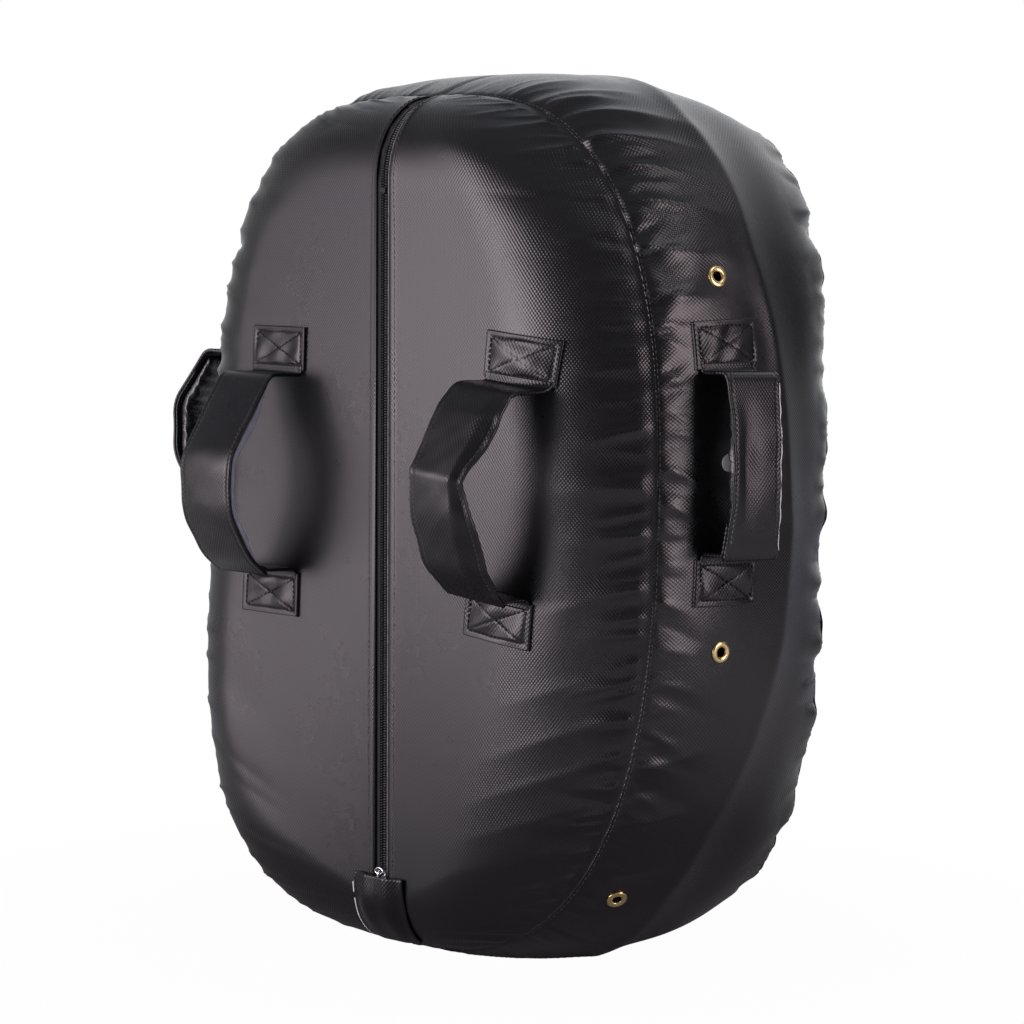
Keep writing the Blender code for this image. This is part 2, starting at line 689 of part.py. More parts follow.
def leg_outline(length):
    """A flat strip with rounded ends, from its root up; local Y is along the handle and Z outwards."""
    radius = LEG_THICKNESS / 2
    turns = [math.pi * i / 6 for i in range(7)]
    top = [(radius * math.cos(a), length + radius * math.sin(a)) for a in turns]
    foot = [(-radius * math.cos(a), -radius * math.sin(a)) for a in turns]
    return top + foot


def grip_line(span, rise, arch):
    return [Vector((-share * span, height * rise)) for share, height in arch]


def grip_outline(span, rise, arch):
    line = grip_line(span, rise, arch)
    outer = offset_line(shortened(line, GRIP_END), -STRAP_THICKNESS / 2)
    inner = offset_line(shortened(line, GRIP_END_INNER), STRAP_THICKNESS / 2)
    return [tuple(p) for p in outer] + [tuple(p) for p in reversed(inner)]


def pad_outline(span, rise, arch):
    line = grip_line(span, rise, arch)
    first, last = PAD_RUN
    full = (first + PAD_TAPER, last - PAD_TAPER)
    bends = [s for s, _ in bend_shares(line) if full[0] < s < full[1]]
    stops = [first, full[0]] + bends + [full[1], last]
    path = [along_line(line, s) for s in stops]
    face = offset_line(path, STRAP_THICKNESS / 2 + GAP)
    under = []
    for i, thickness in enumerate([PAD_END_THICKNESS] + [PAD_THICKNESS] * (len(path) - 2) + [PAD_END_THICKNESS]):
        under.append(offset_line(path, STRAP_THICKNESS / 2 + GAP + thickness)[i])
    return [tuple(p) for p in face] + [tuple(p) for p in reversed(under)]


def bend_shares(line):
    runs = [(b - a).length for a, b in zip(line, line[1:])]
    total = sum(runs)
    return [(sum(runs[: i + 1]) / total, i) for i in range(len(runs) - 1)]


def sewn_end(name, surface, centre_u, centre_v, half_u, half_v):
    """A flat strap end laid on a curved cover."""
    outer, inner = [], []
    for i in range(5):
        u = centre_u + half_u * (i / 2 - 1)
        spots = [centre_v + half_v * (k / 3 - 1) for k in range(7)]
        inner.append([surface(u, v, GAP) for v in spots])
        outer.append([surface(u, v, GAP + PATCH_THICKNESS) for v in spots])
    middle = surface(centre_u, centre_v, GAP)
    add_object(name, sheet_mesh(name, outer, inner, middle), vinyl, Matrix.Translation(middle))


def handle(name, upper, lower, across, normals=()):
    """Legs and grip between two root points on the cover; across is the strap's width direction."""
    along = (upper - lower).normalized()
    across = (across - along * across.dot(along)).normalized()
    outward = across.cross(along)
    span = (upper - lower).length
    leg, rise, arch = LEG_LENGTH[name], GRIP_RISE[name], GRIP_ARCH[name]
    half = STRAP_WIDTH[name.split("_")[0]] / 2
    skew = max((abs(across.dot(normal)) for normal in normals), default=0)
    lift = GAP + LEG_THICKNESS / 2 + half * skew
    for word, root in (("upper", upper), ("lower", lower)):
        node = f"handle_{name}_{word}_leg"
        frame = frame_of(root + outward * lift, across, along, outward)
        add_object(node, prism_mesh(node, leg_outline(leg), half), vinyl, frame)
    fold = add_empty(f"handle_{name}_fold", frame_of(upper + outward * (lift + leg), across, along, outward))
    strap, pad = f"handle_{name}_grip", f"handle_{name}_pad"
    add_object(strap, prism_mesh(strap, grip_outline(span, rise, arch), half), vinyl, fold.matrix_world, fold)
    outline = pad_outline(span, rise, arch)
    add_object(pad, prism_mesh(pad, outline, half - PAD_MARGIN), (GREY_FOAM, 0.9), fold.matrix_world, fold)


def turned_back(x, z, tilt):
    """The back's surface, turned in its own plane about one point to line up with a tilted strap."""

    def surface(u, v, lift):
        along, over = u - z, v - x
        return back_point(x + over + tilt * along, z + along - tilt * over, lift)

    return surface


patch_reach = PATCH_FOLD_ROOM + PATCH_LENGTH / 2
for side, word in ((-1, "left"), (1, "right")):
    upper_x, lower_x = (side * offset for offset in BACK_HANDLE_OFFSET[word])
    top = BACK_HANDLE_MIDDLE + BACK_HANDLE_SPAN / 2
    bottom = BACK_HANDLE_MIDDLE - BACK_HANDLE_SPAN / 2
    tilt = (upper_x - lower_x) / BACK_HANDLE_SPAN
    for end, z in (("upper", top + patch_reach), ("lower", bottom - patch_reach)):
        node = f"handle_back_{word}_{end}_end"
        x = lower_x + tilt * (z - bottom)
        sewn_end(node, turned_back(x, z, tilt), z, x, PATCH_LENGTH / 2, PATCH_WIDTH["back"] / 2)
    normals = [back_normal(upper_x, top), back_normal(lower_x, bottom)]
    level = Vector((0, 0, 1)).cross(normals[0] + normals[1])
    handle(f"back_{word}", back_point(upper_x, top), back_point(lower_x, bottom), level, normals)

    top = length_at_height(SIDE_HANDLE_MIDDLE + SIDE_HANDLE_SPAN / 2, side)
    bottom = length_at_height(SIDE_HANDLE_MIDDLE - SIDE_HANDLE_SPAN / 2, side)
    half_share = PATCH_WIDTH["side"] / 2 / GUSSET_DEPTH
    for end, length in (("upper", top - side * patch_reach), ("lower", bottom + side * patch_reach)):
        node = f"handle_side_{word}_{end}_end"
        sewn_end(node, gusset_point, length, SIDE_LINE, PATCH_LENGTH / 2, half_share)
    middle = (top + bottom) / 2
    edge = gusset_point(middle, SIDE_LINE + 0.02) - gusset_point(middle, SIDE_LINE - 0.02)
    handle(f"side_{word}", gusset_point(top, SIDE_LINE), gusset_point(bottom, SIDE_LINE), edge * side)


# Eyelets and cap rivets through the gusset, each closed over a washer on the inside
def eyelet_profile():
    outer, hole = EYELET_DIAMETER / 2, EYELET_HOLE / 2
    barrel = hole + EYELET_WALL
    under = -(SKIN + 2 * GAP + WASHER_THICKNESS + GAP)
    lip = barrel + 2 * EYELET_WALL
    profile = [(hole, under - EYELET_WALL), (hole, EYELET_CROWN * 0.5), (hole + EYELET_CROWN / 2, GAP + EYELET_CROWN)]
    profile += [(outer - EYELET_CROWN, GAP + EYELET_CROWN), (outer, GAP + EYELET_CROWN / 2), (outer, GAP)]
    profile += [(barrel, GAP), (barrel, under), (lip, under), (lip, under - EYELET_WALL)]
    return profile


def rivet_profile():
    cap, post = RIVET_DIAMETER / 2, RIVET_POST / 2
    under = -(SKIN + 2 * GAP + WASHER_THICKNESS + GAP)
    head = 1.5 * post
    profile = [(0, GAP + RIVET_CROWN), (cap * 0.55, GAP + RIVET_CROWN * 0.85), (cap, GAP + RIVET_CROWN * 0.3)]
    profile += [(cap, GAP), (post, GAP), (post, under), (head, under), (head, under - EYELET_WALL)]
    return profile + [(0, under - EYELET_WALL)]


def washer_profile(bore):
    outer = WASHER_DIAMETER / 2
    top = -(SKIN + 2 * GAP)
    return [(bore, top), (bore, top - WASHER_THICKNESS), (outer, top - WASHER_THICKNESS), (outer, top)]


def hole_cutter(radius):
    return [(0, SKIN), (0, -3 * SKIN), (radius, -3 * SKIN), (radius, SKIN)]


for place, (length, line) in FIXINGS.items():
    frame = fixing_frame(length, line)
    if place.startswith("rivet"):
        name, profile, finish = f"cap_{place}", rivet_profile(), (STEEL, 0.4, 0.6)
        neck = RIVET_POST / 2
    else:
        name, profile, finish = f"eyelet_{place}", eyelet_profile(), (BRASS, 0.28, 1.0)
        neck = EYELET_HOLE / 2 + EYELET_WALL
    bore = neck + FIXING_CLEARANCE
    add_object(name, turned_mesh(name, profile), finish, frame)
    add_object(f"washer_{place}", turned_mesh(f"washer_{place}", washer_profile(bore)), (BRASS, 0.35, 1.0), frame)
    cut(gusset, turned_mesh(f"hole_cutter_{place}", hole_cutter(bore)), frame)
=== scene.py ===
"""Kick shield: the looks of a boxed vinyl cushion with a zipped back and four strap handles."""

import json
import math

import bpy
import numpy as np
from mathutils import Matrix, Vector


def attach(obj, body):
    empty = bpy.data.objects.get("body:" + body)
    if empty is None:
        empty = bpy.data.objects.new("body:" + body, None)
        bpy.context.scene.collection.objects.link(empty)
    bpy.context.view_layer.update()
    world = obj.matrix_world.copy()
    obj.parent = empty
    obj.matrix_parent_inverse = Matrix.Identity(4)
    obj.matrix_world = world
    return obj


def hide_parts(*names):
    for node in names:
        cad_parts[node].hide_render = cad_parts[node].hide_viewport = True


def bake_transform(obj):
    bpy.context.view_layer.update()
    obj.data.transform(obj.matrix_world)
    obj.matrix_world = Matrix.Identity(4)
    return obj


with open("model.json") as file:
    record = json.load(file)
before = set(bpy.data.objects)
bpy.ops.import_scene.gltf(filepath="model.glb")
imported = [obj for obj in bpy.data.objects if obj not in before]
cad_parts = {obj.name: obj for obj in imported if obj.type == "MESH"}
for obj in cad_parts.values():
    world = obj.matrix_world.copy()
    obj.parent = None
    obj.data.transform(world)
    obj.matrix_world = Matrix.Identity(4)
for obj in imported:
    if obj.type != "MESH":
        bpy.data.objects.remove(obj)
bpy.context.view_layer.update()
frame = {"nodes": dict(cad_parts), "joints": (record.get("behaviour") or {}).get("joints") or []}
joints = {joint["name"]: joint for joint in frame["joints"]}

# Cushion, as in the solids
SEAM_WIDTH = 0.410
SEAM_HEIGHT = 0.580
OUTLINE_POWER = 2.75
RIGHT_FOOT_POWER = 2.45
LEFT_TOP_POWER = 3.3
LEFT_FOOT_POWER = 3.2
STRIKE_OUTLINE_POWER = 3.6
STRIKE_FOOT_POWER = 3.3
STRIKE_FOOT_RISE = 0.012
GUSSET_DEPTH = 0.173
GUSSET_BULGE = 0.020
GUSSET_BULGE_POWER = 2.4
STANDING_DEPTH = 0.017
BACK_DOME = 0.0445
BACK_LEAN = 0.034
BACK_TWIST = 0.400
BACK_EDGE = 0.060
SIDE_TURN = 0.094
FOOT_TURN = 0.110
TOP_TURN = 0.040
ZIP_END_EDGE = 0.040
ZIP_END_SPREAD = 0.090
STRIKE_CROWN = 0.022
STRIKE_CROWN_POWER = 2.2
SKIN = 0.0016
SCALLOP_REACH = 0.012
GUSSET_SLACK = 0.010

# Zip and flap
ZIP_SLOT = 0.014
COIL_WIDTH = 0.0025
COIL_HEIGHT = 0.0024
COIL_DEPTH = 0.0011
COIL_SPACING = 0.0010
TOOTH_PITCH = 0.0018
SLIDER_LENGTH = 0.018
SLIDER_WIDTH = 0.0104
SLIDER_PLATE = 0.0014
SLIDER_REST = -0.244
RING_WIRE = 0.0015
RING_HALF_WIDTH = 0.0036
RING_HALF_HEIGHT = 0.0023
STOP_LENGTH = 0.004
STOP_HEIGHT = 0.0013
ZIP_TRAVEL = 0.455
FLAP_WIDTH = 0.046
FLAP_THICKNESS = 0.0018
FLAP_TOP = -0.2405
FLAP_FOOT = -0.2875
FLAP_CLEARANCE = 0.0050
FLAP_FOOT_LIFT = 0.0005

# Handles
STRAP_WIDTH = {"back": 0.052, "side": 0.045}
STRAP_THICKNESS = 0.0026
LEG_THICKNESS = 0.0022
PATCH_WIDTH = {"back": 0.055, "side": 0.050}
PATCH_LENGTH = 0.030
PATCH_THICKNESS = 0.0022
PATCH_FOLD_ROOM = 0.0030
PAD_THICKNESS = 0.0050
PAD_DROP = STRAP_THICKNESS / 2 + 0.0002
LEG_START = 0.0055
THREAD_LIFT = STRAP_THICKNESS / 2 - 0.0004
ARCH = ((0.0, 0.0), (0.36, 1.0), (0.70, 0.92), (1.0, 0.0))
GRIP_LINES = {
    "back_left": ((0.0, 0.0), (0.44, 1.0), (0.72, 0.92), (0.94, 0.36), (1.0, 0.0)),
    "back_right": ((0.0, 0.0), (0.09, 0.48), (0.41, 1.28), (0.62, 1.14), (0.86, 0.62), (1.0, 0.0)),
}
BACK_HANDLE_OFFSET = {"left": (0.107, 0.108), "right": (0.124, 0.110)}
BACK_HANDLE_MIDDLE = 0.031
BACK_HANDLE_SPAN = 0.134
SIDE_HANDLE_MIDDLE = 0.050
SIDE_HANDLE_SPAN = 0.113
SIDE_LINE = 0.29
GRIP_RISE = {"back_left": 0.034, "back_right": 0.027, "side_left": 0.028, "side_right": 0.006}

# Eyelets and cap rivets
EYELET_DIAMETER = 0.0143
EYELET_HOLE = 0.0064
EYELET_CROWN = 0.0012
RIVET_DIAMETER = 0.0116
RIVET_CROWN = 0.0018
FIXING_LIFT = 0.0003
EYELET_CUT = 0.0046

# Stitches: pitch, length, width and height
SEAM_STITCH = (0.0040, 0.0026, 0.0006, 0.0004)
ZIP_STITCH = (0.0042, 0.0030, 0.0009, 0.0006)
PATCH_STITCH = (0.0034, 0.0028, 0.0010, 0.0005)
STRAP_STITCH = (0.0034, 0.0026, 0.0007, 0.0005)

# Camera
CAMERA_AZIMUTH = 43.5
CAMERA_ELEVATION = 4.0
CAMERA_ROLL = 1.7
CAMERA_DISTANCE = 2.1
CAMERA_LENS = 104.84
CAMERA_SENSOR = 36
CAMERA_SHIFT = (-0.0041, 0.0072)

HALF_WIDTH = SEAM_WIDTH / 2
HALF_HEIGHT = SEAM_HEIGHT / 2
MIDDLE_Z = HALF_HEIGHT + GUSSET_BULGE - STANDING_DEPTH
BACK_Y = -GUSSET_DEPTH / 2
FRONT_Y = GUSSET_DEPTH / 2
FLOOR_DROP = 0.0002


# Small helpers
def smooth(value, low, high):
    t = np.clip((value - low) / (high - low), 0, 1)
    return t * t * (3 - 2 * t)


def near(value, width, middle=0.0):
    """1 at the middle, falling away to both sides."""
    return np.exp(-(((value - middle) / width) ** 2))


def signed_power(value, power):
    return np.sign(value) * np.abs(value) ** power


def unit(vectors):
    size = np.linalg.norm(vectors, axis=-1, keepdims=True)
    return vectors / np.maximum(size, 1e-12)


def run_along(points):
    """The length along a line at each of its points."""
    steps = np.linalg.norm(np.diff(points, axis=0), axis=-1)
    return np.concatenate([0 * steps[:1], np.cumsum(steps, axis=0)])


def read_at(spots, lengths, table):
    """The columns of a table, read between its rows."""
    return np.stack([np.interp(spots, lengths, column) for column in table.T], axis=-1)


def stacked(*parts):
    """Coordinates put together as points."""
    return np.stack(np.broadcast_arrays(*parts), axis=-1)


def turns_of(count):
    return np.linspace(0, 2 * math.pi, count, endpoint=False)


def place_of(origin, y_axis, x_axis=(1.0, 0.0, 0.0)):
    """A frame from its origin and two of its axes."""
    place = np.eye(4)
    y_axis = unit(np.array(y_axis, float))
    place[:3] = stacked(x_axis, y_axis, np.cross(x_axis, y_axis), origin)
    return place


def moved(points, place):
    """Points given in a frame of their own."""
    return points @ place[:3, :3].T + place[:3, 3]


def settle(piece, body, slot, *nodes, soft=None):
    """Says which body a piece rides on and what it replaces; its slot and soft arguments are not used."""
    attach(piece, body)
    if nodes:
        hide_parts(*nodes)


# Shape of the cover
def seam_curve(top, foot, left_top, left_foot, foot_rise=0.0):
    """A seam's points and its arc lengths from the top middle towards +X, with a power for each quarter."""
    angles = np.linspace(0, 2 * math.pi, 6001)
    upper, right = np.cos(angles) > 0, np.sin(angles) > 0
    power = np.where(right, np.where(upper, top, foot), np.where(upper, left_top, left_foot))
    curve_x = HALF_WIDTH * signed_power(np.sin(angles), 2 / power)
    height = np.where(upper, HALF_HEIGHT, HALF_HEIGHT - foot_rise)
    curve_z = height * signed_power(np.cos(angles), 2 / power)
    return curve_x, curve_z, run_along(stacked(curve_x, curve_z))


BACK_SEAM = seam_curve(OUTLINE_POWER, RIGHT_FOOT_POWER, LEFT_TOP_POWER, LEFT_FOOT_POWER)
STRIKE_POWERS = (STRIKE_OUTLINE_POWER, STRIKE_FOOT_POWER)
STRIKE_SEAM = seam_curve(*STRIKE_POWERS, *STRIKE_POWERS, STRIKE_FOOT_RISE)
PERIMETER = float(BACK_SEAM[2][-1])
RIGHT_LENGTH = float(BACK_SEAM[2][len(BACK_SEAM[2]) // 2])


def outline_at(length, share):
    """The outline part of the way from the back seam to the strike seam, by arc length on the back seam."""
    reach = np.mod(length, PERIMETER)
    x, z = 0.0, 0.0
    for (curve_x, curve_z, lengths), weight in ((BACK_SEAM, 1 - share), (STRIKE_SEAM, share)):
        half = lengths[len(lengths) // 2]
        first = half * reach / RIGHT_LENGTH
        second = half + (lengths[-1] - half) * (reach - RIGHT_LENGTH) / (PERIMETER - RIGHT_LENGTH)
        along = np.where(reach <= RIGHT_LENGTH, first, second)
        x = x + weight * np.interp(along, lengths, curve_x)
        z = z + weight * np.interp(along, lengths, curve_z)
    return x, z


def outline_normal(length, share):
    step = 0.002
    x0, z0 = outline_at(length - step, share)
    x1, z1 = outline_at(length + step, share)
    out_x, out_z = z0 - z1, x1 - x0
    size = np.hypot(out_x, out_z)
    turn = np.where(out_x * x1 + out_z * z1 > 0, 1, -1) / size
    return out_x * turn, out_z * turn


def length_at_height(height, side):
    _, curve_z, lengths = BACK_SEAM
    half = len(curve_z) // 2
    if side > 0:
        return float(np.interp(-height, -curve_z[: half + 1], lengths[: half + 1]))
    return float(np.interp(height, curve_z[half:], lengths[half:]))


def gusset_surface(length, share, lift=0.0):
    length, share = np.broadcast_arrays(np.asarray(length, float), np.asarray(share, float))
    x, z = outline_at(length, share)
    out_x, out_z = outline_normal(length, share)
    rise = GUSSET_BULGE * (1 - np.abs(2 * share - 1) ** GUSSET_BULGE_POWER) + lift
    y = BACK_Y + share * GUSSET_DEPTH
    return stacked(x + out_x * rise, y, MIDDLE_Z + z + out_z * rise)


def back_rise(x, z):
    left = np.where(z > 0, LEFT_TOP_POWER, LEFT_FOOT_POWER)
    power = np.where(x < 0, left, np.where(z > 0, OUTLINE_POWER, RIGHT_FOOT_POWER))
    share = ((np.abs(x) / HALF_WIDTH) ** power + (np.abs(z) / HALF_HEIGHT) ** power) ** (1 / power)
    full = BACK_DOME + (BACK_LEAN + BACK_TWIST * np.minimum(x, 0)) * z
    inwards = np.hypot(x, z) * np.maximum(0.0, 1 / np.maximum(share, 1e-6) - 1)
    inwards = np.where(share < 1e-3, 1.0, inwards)
    near = 1 - np.minimum(np.abs(x) / ZIP_END_SPREAD, 1)
    blend = np.where(z < 0, near * near * (3 - 2 * near), 0)
    edge = BACK_EDGE + (ZIP_END_EDGE - BACK_EDGE) * blend
    t = np.clip(inwards / edge, 1e-5, 1)
    round_edge = np.sqrt(1 - (1 - t) ** 2)
    seam_x = HALF_WIDTH * np.maximum(1 - (np.abs(z) / HALF_HEIGHT) ** power, 0) ** (1 / power)
    seam_z = HALF_HEIGHT * np.maximum(1 - (np.abs(x) / HALF_WIDTH) ** power, 0) ** (1 / power)
    side_edge = FOOT_TURN + (SIDE_TURN - FOOT_TURN) * smooth(z, -0.14, 0.06)
    sides = np.clip((seam_x - np.abs(x)) / side_edge, 0, 1)
    top_edge = edge + (TOP_TURN - edge) * smooth(z, 0.0, 0.10)
    ends = np.clip((seam_z - np.abs(z)) / top_edge, 0, 1)
    slack = (1 - (1 - sides) ** 2.4) * np.sqrt(1 - (1 - ends) ** 2)
    return full * (round_edge + smooth(x, 0.02, 0.10) * (slack - round_edge))


def back_surface(x, z, lift=0.0):
    x, z = np.broadcast_arrays(np.asarray(x, float), np.asarray(z, float))
    step = 0.0004
    slope_x = (back_rise(x + step, z) - back_rise(x - step, z)) / (2 * step)
    slope_z = (back_rise(x, z + step) - back_rise(x, z - step)) / (2 * step)
    normal = stacked(-slope_x, -np.ones_like(x), -slope_z)
    point = stacked(x, BACK_Y - back_rise(x, z), MIDDLE_Z + z)
    return point + unit(normal) * np.asarray(lift)[..., None]


def zip_surface(x, z, lift=0.0):
    """Over the slot the line of the zip is level from side to side."""
    x, z, lift = np.broadcast_arrays(np.asarray(x, float), np.asarray(z, float), np.asarray(lift, float))
    point = back_surface(np.zeros_like(z), z, lift)
    point[..., 0] = x
    return point


# Mesh helpers
def add_mesh(name, points, faces, finish, uv=None):
    mesh = bpy.data.meshes.new(name)
    mesh.from_pydata(np.asarray(points, float).reshape(-1, 3).tolist(), [], faces)
    if uv is not None:
        corner = np.empty(len(mesh.loops), np.int32)
        mesh.loops.foreach_get("vertex_index", corner)
        layer = mesh.uv_layers.new(name="weave")
        layer.data.foreach_set("uv", np.asarray(uv, np.float32).reshape(-1, 2)[corner].ravel())
    mesh.validate()
    mesh.shade_smooth()
    mesh.materials.append(finish)
    obj = bpy.data.objects.new(name, mesh)
    bpy.context.scene.collection.objects.link(obj)
    return obj


def grid_faces(rows, columns, wrap=False, flip=False):
    index = np.arange(rows * columns).reshape(rows, columns)
    if wrap:
        index = np.concatenate([index, index[:, :1]], axis=1)
    quads = stacked(index[:-1, :-1], index[1:, :-1], index[1:, 1:], index[:-1, 1:])
    quads = quads.reshape(-1, 4)
    return quads[:, ::-1] if flip else quads


def grid_normals(points, outward):
    """Normals of a grid, all on the side of the outward directions."""
    normal = unit(np.cross(np.gradient(points, axis=0), np.gradient(points, axis=1)))
    facing = np.sign((normal * outward).sum(axis=-1, keepdims=True))
    weak = np.linalg.norm(normal, axis=-1, keepdims=True) < 0.5
    return np.where(weak, unit(np.broadcast_to(outward, points.shape)), normal * facing)


LEAST_FACE = 1e-13


def facing_out(points, quads, caps=()):
    """The faces of a closed mesh, turned round where they face inwards."""
    a, b, c, d = (points - points.mean(axis=0))[quads.T]
    volume = (np.cross(a, b) * c + np.cross(a, c) * d).sum()
    faces = quads[np.linalg.norm(np.cross(c - a, d - b), axis=1) > LEAST_FACE].tolist()
    faces += [list(cap) for cap in caps]
    return faces if volume > 0 else [face[::-1] for face in faces]


def loft_faces(rings):
    """The faces of a closed tube through rings of points, with a flat cap at each end."""
    rows, columns = rings.shape[:2]
    last = (rows - 1) * columns
    caps = (range(columns), range(last + columns - 1, last - 1, -1))
    return facing_out(rings.reshape(-1, 3), grid_faces(rows, columns, wrap=True), caps)


def copies(faces, count, size):
    """The faces of one item, for a row of items of so many points each."""
    return [[k + base for k in face] for base in range(0, count * size, size) for face in faces]


def add_loft(name, rings, finish, uv=None):
    return add_mesh(name, rings, loft_faces(rings), finish, uv)


def bead(name, line, radius, finish):
    """A thin round cord along a line."""
    ahead = unit(np.gradient(line, axis=0))
    side = unit(np.cross(ahead, [0.31, -0.92, 0.17]))
    up = np.cross(ahead, side)
    turns = turns_of(8)[None, :, None]
    rings = line[:, None] + radius * (side[:, None] * np.cos(turns) + up[:, None] * np.sin(turns))
    return add_loft(name, rings, finish)


def turned(name, profile, place, finish, sides=48):
    """A closed (radius, height) profile spun about the frame's Z."""
    radius, height = np.array([*profile, profile[0]]).T[:, :, None]
    angles = turns_of(sides)
    rings = stacked(radius * np.cos(angles), radius * np.sin(angles), height)
    points = moved(rings.reshape(-1, 3), place)
    return add_mesh(name, points, facing_out(points, grid_faces(len(rings), sides, wrap=True)), finish)


def resampled(path, normals, pitch):
    """Places at this pitch along a polyline, with tangents and normals."""
    lengths = run_along(path)
    count = max(1, int(lengths[-1] / pitch))
    spots = (np.arange(count) + 0.5) * lengths[-1] / count
    step = 1e-4
    ahead = read_at(spots + step, lengths, path) - read_at(spots - step, lengths, path)
    return read_at(spots, lengths, path), unit(ahead), unit(read_at(spots, lengths, normals))


STITCH_STATIONS = ((-0.5, 0.25), (-0.34, 1.0), (0.34, 1.0), (0.5, 0.25))
STITCH_ARC = 5


def stitches(name, lines, finish, pitch, length, width, height):
    """Short raised threads along lines of (path, normals)."""
    reach, size = np.array(STITCH_STATIONS).T[:, :, None, None]
    turn = math.pi * np.arange(STITCH_ARC)[:, None] / (STITCH_ARC - 1)
    side = np.cos(turn) * width / 2 * size
    rise = (np.sin(turn) * size - 0.25) * height
    total = len(STITCH_STATIONS) * STITCH_ARC
    faces = np.roll(grid_faces(len(STITCH_STATIONS), STITCH_ARC, flip=True), 1, axis=1).tolist()
    faces += [range(STITCH_ARC)[::-1], range(total - STITCH_ARC, total)]
    points = []
    for path, normals in lines:
        place, tangent, normal = resampled(path, normals, pitch)
        tangent = unit(tangent - normal * (tangent * normal).sum(axis=1, keepdims=True))
        place, t, n, b = (v[:, None, None] for v in (place, tangent, normal, np.cross(normal, tangent)))
        points.append(place + t * (reach * length) + b * side + n * rise)
    points = np.concatenate(points)
    return add_mesh(name, points, copies(faces, len(points), total), finish)


# Materials
class Nodes:
    """Short ways to add and join shader nodes."""

    def __init__(self, owner):
        owner.use_nodes = True
        self.owner = owner
        self.tree = owner.node_tree

    def add(self, kind, **inputs):
        node = self.tree.nodes.new(kind)
        for key, value in inputs.items():
            self.put(node.inputs[key.replace("_", " ")], value)
        return node

    def finished(self, **inputs):
        """The material, with these inputs of its shader."""
        for key, value in inputs.items():
            self.put(self.tree.nodes["Principled BSDF"].inputs[key.replace("_", " ")], value)
        return self.owner

    def put(self, socket, value):
        if isinstance(value, bpy.types.NodeSocket):
            self.tree.links.new(value, socket)
        else:
            socket.default_value = value

    def math(self, operation, first, second=0.0):
        node = self.add("ShaderNodeMath")
        node.operation = operation
        self.put(node.inputs[0], first)
        self.put(node.inputs[1], second)
        return node.outputs[0]

    def vector(self, operation, first, second=(0.0, 0.0, 0.0)):
        """The number that a sum of vectors gives."""
        node = self.add("ShaderNodeVectorMath")
        node.operation = operation
        self.put(node.inputs[0], first)
        self.put(node.inputs[1], second)
        return node.outputs["Value"]

    def ramp(self, value, low, high, first, second):
        inputs = {"Value": value, "From_Min": low, "From_Max": high, "To_Min": first, "To_Max": second}
        return self.add("ShaderNodeMapRange", **inputs).outputs[0]

    def mix(self, share, first, second):
        """A colour part of the way between two others."""
        node = self.add("ShaderNodeMix")
        node.data_type = "RGBA"
        self.put(node.inputs[0], share)
        for socket, colour in ((6, first), (7, second)):
            self.put(node.inputs[socket], (*colour, 1.0) if isinstance(colour, tuple) else colour)
        return node.outputs[2]

    def noise(self, vector, scale, detail=3.0, roughness=0.55):
        inputs = {"Vector": vector, "Scale": scale, "Detail": detail, "Roughness": roughness}
        return self.add("ShaderNodeTexNoise", **inputs).outputs[0]

    def bump(self, height, strength, distance, base=None):
        node = self.add("ShaderNodeBump", Strength=strength, Distance=distance, Height=height)
        if base is not None:
            self.put(node.inputs["Normal"], base)
        return node.outputs[0]

    def parts(self, vector):
        return self.add("ShaderNodeSeparateXYZ", Vector=vector).outputs

    def spot(self, kind="Object"):
        return self.add("ShaderNodeTexCoord").outputs[kind]

    def wave(self, value, pitch):
        return self.math("MULTIPLY", value, 2 * math.pi / pitch)

    def weave(self):
        """The embossed diamond weave, from the piece's own flat coordinates in metres."""
        flat = self.add("ShaderNodeUVMap")
        flat.uv_map = "weave"
        slants = [self.wave(value, pitch) for value, pitch in zip(self.parts(flat.outputs[0]), WEAVE_PITCH)]
        waves = [self.math("SINE", self.math(way, *slants)) for way in ("ADD", "SUBTRACT")]
        return self.math("MULTIPLY", self.math("ADD", *waves), 0.5)


WEAVE_PITCH = (0.00245, 0.00307)
TAPE_PITCH = (0.0011, 0.0009)


def vinyl(name, tone=(0.0042, 0.0036, 0.0041), rough=0.27, weave=(0.24, 0.30), crumple=0.18, shine=0.5):
    """Embossed vinyl; the weave's depth goes from the first share low down to the second near the top."""
    made = Nodes(bpy.data.materials.new(name))
    spot = made.spot()
    broad = made.noise(spot, 7.0, 4.0)
    fine = made.noise(spot, 120.0, 2.0)
    emboss = made.weave()
    worn, crest_tone = (tuple(share * value for value in tone) for share in (1.3, 1.8))
    colour = made.mix(made.ramp(broad, 0.40, 0.80, 0.0, 1.0), tone, worn)
    crest = made.ramp(emboss, -1.0, 1.0, 0.0, 1.0)
    colour = made.mix(made.math("MULTIPLY", crest, 0.4), colour, crest_tone)
    gloss = made.ramp(broad, 0.3, 0.7, rough - 0.03, rough + 0.04)
    gloss = made.math("ADD", gloss, made.ramp(fine, 0.3, 0.7, -0.006, 0.010))
    folds = made.bump(made.noise(spot, 38.0, 3.0), crumple, 0.0009)
    depth = made.ramp(made.parts(spot)[2], 0.36, 0.50, *weave)
    normal = made.bump(emboss, depth, 0.00022, folds)
    return made.finished(Base_Color=colour, Roughness=gloss, Normal=normal, Specular_IOR_Level=shine)


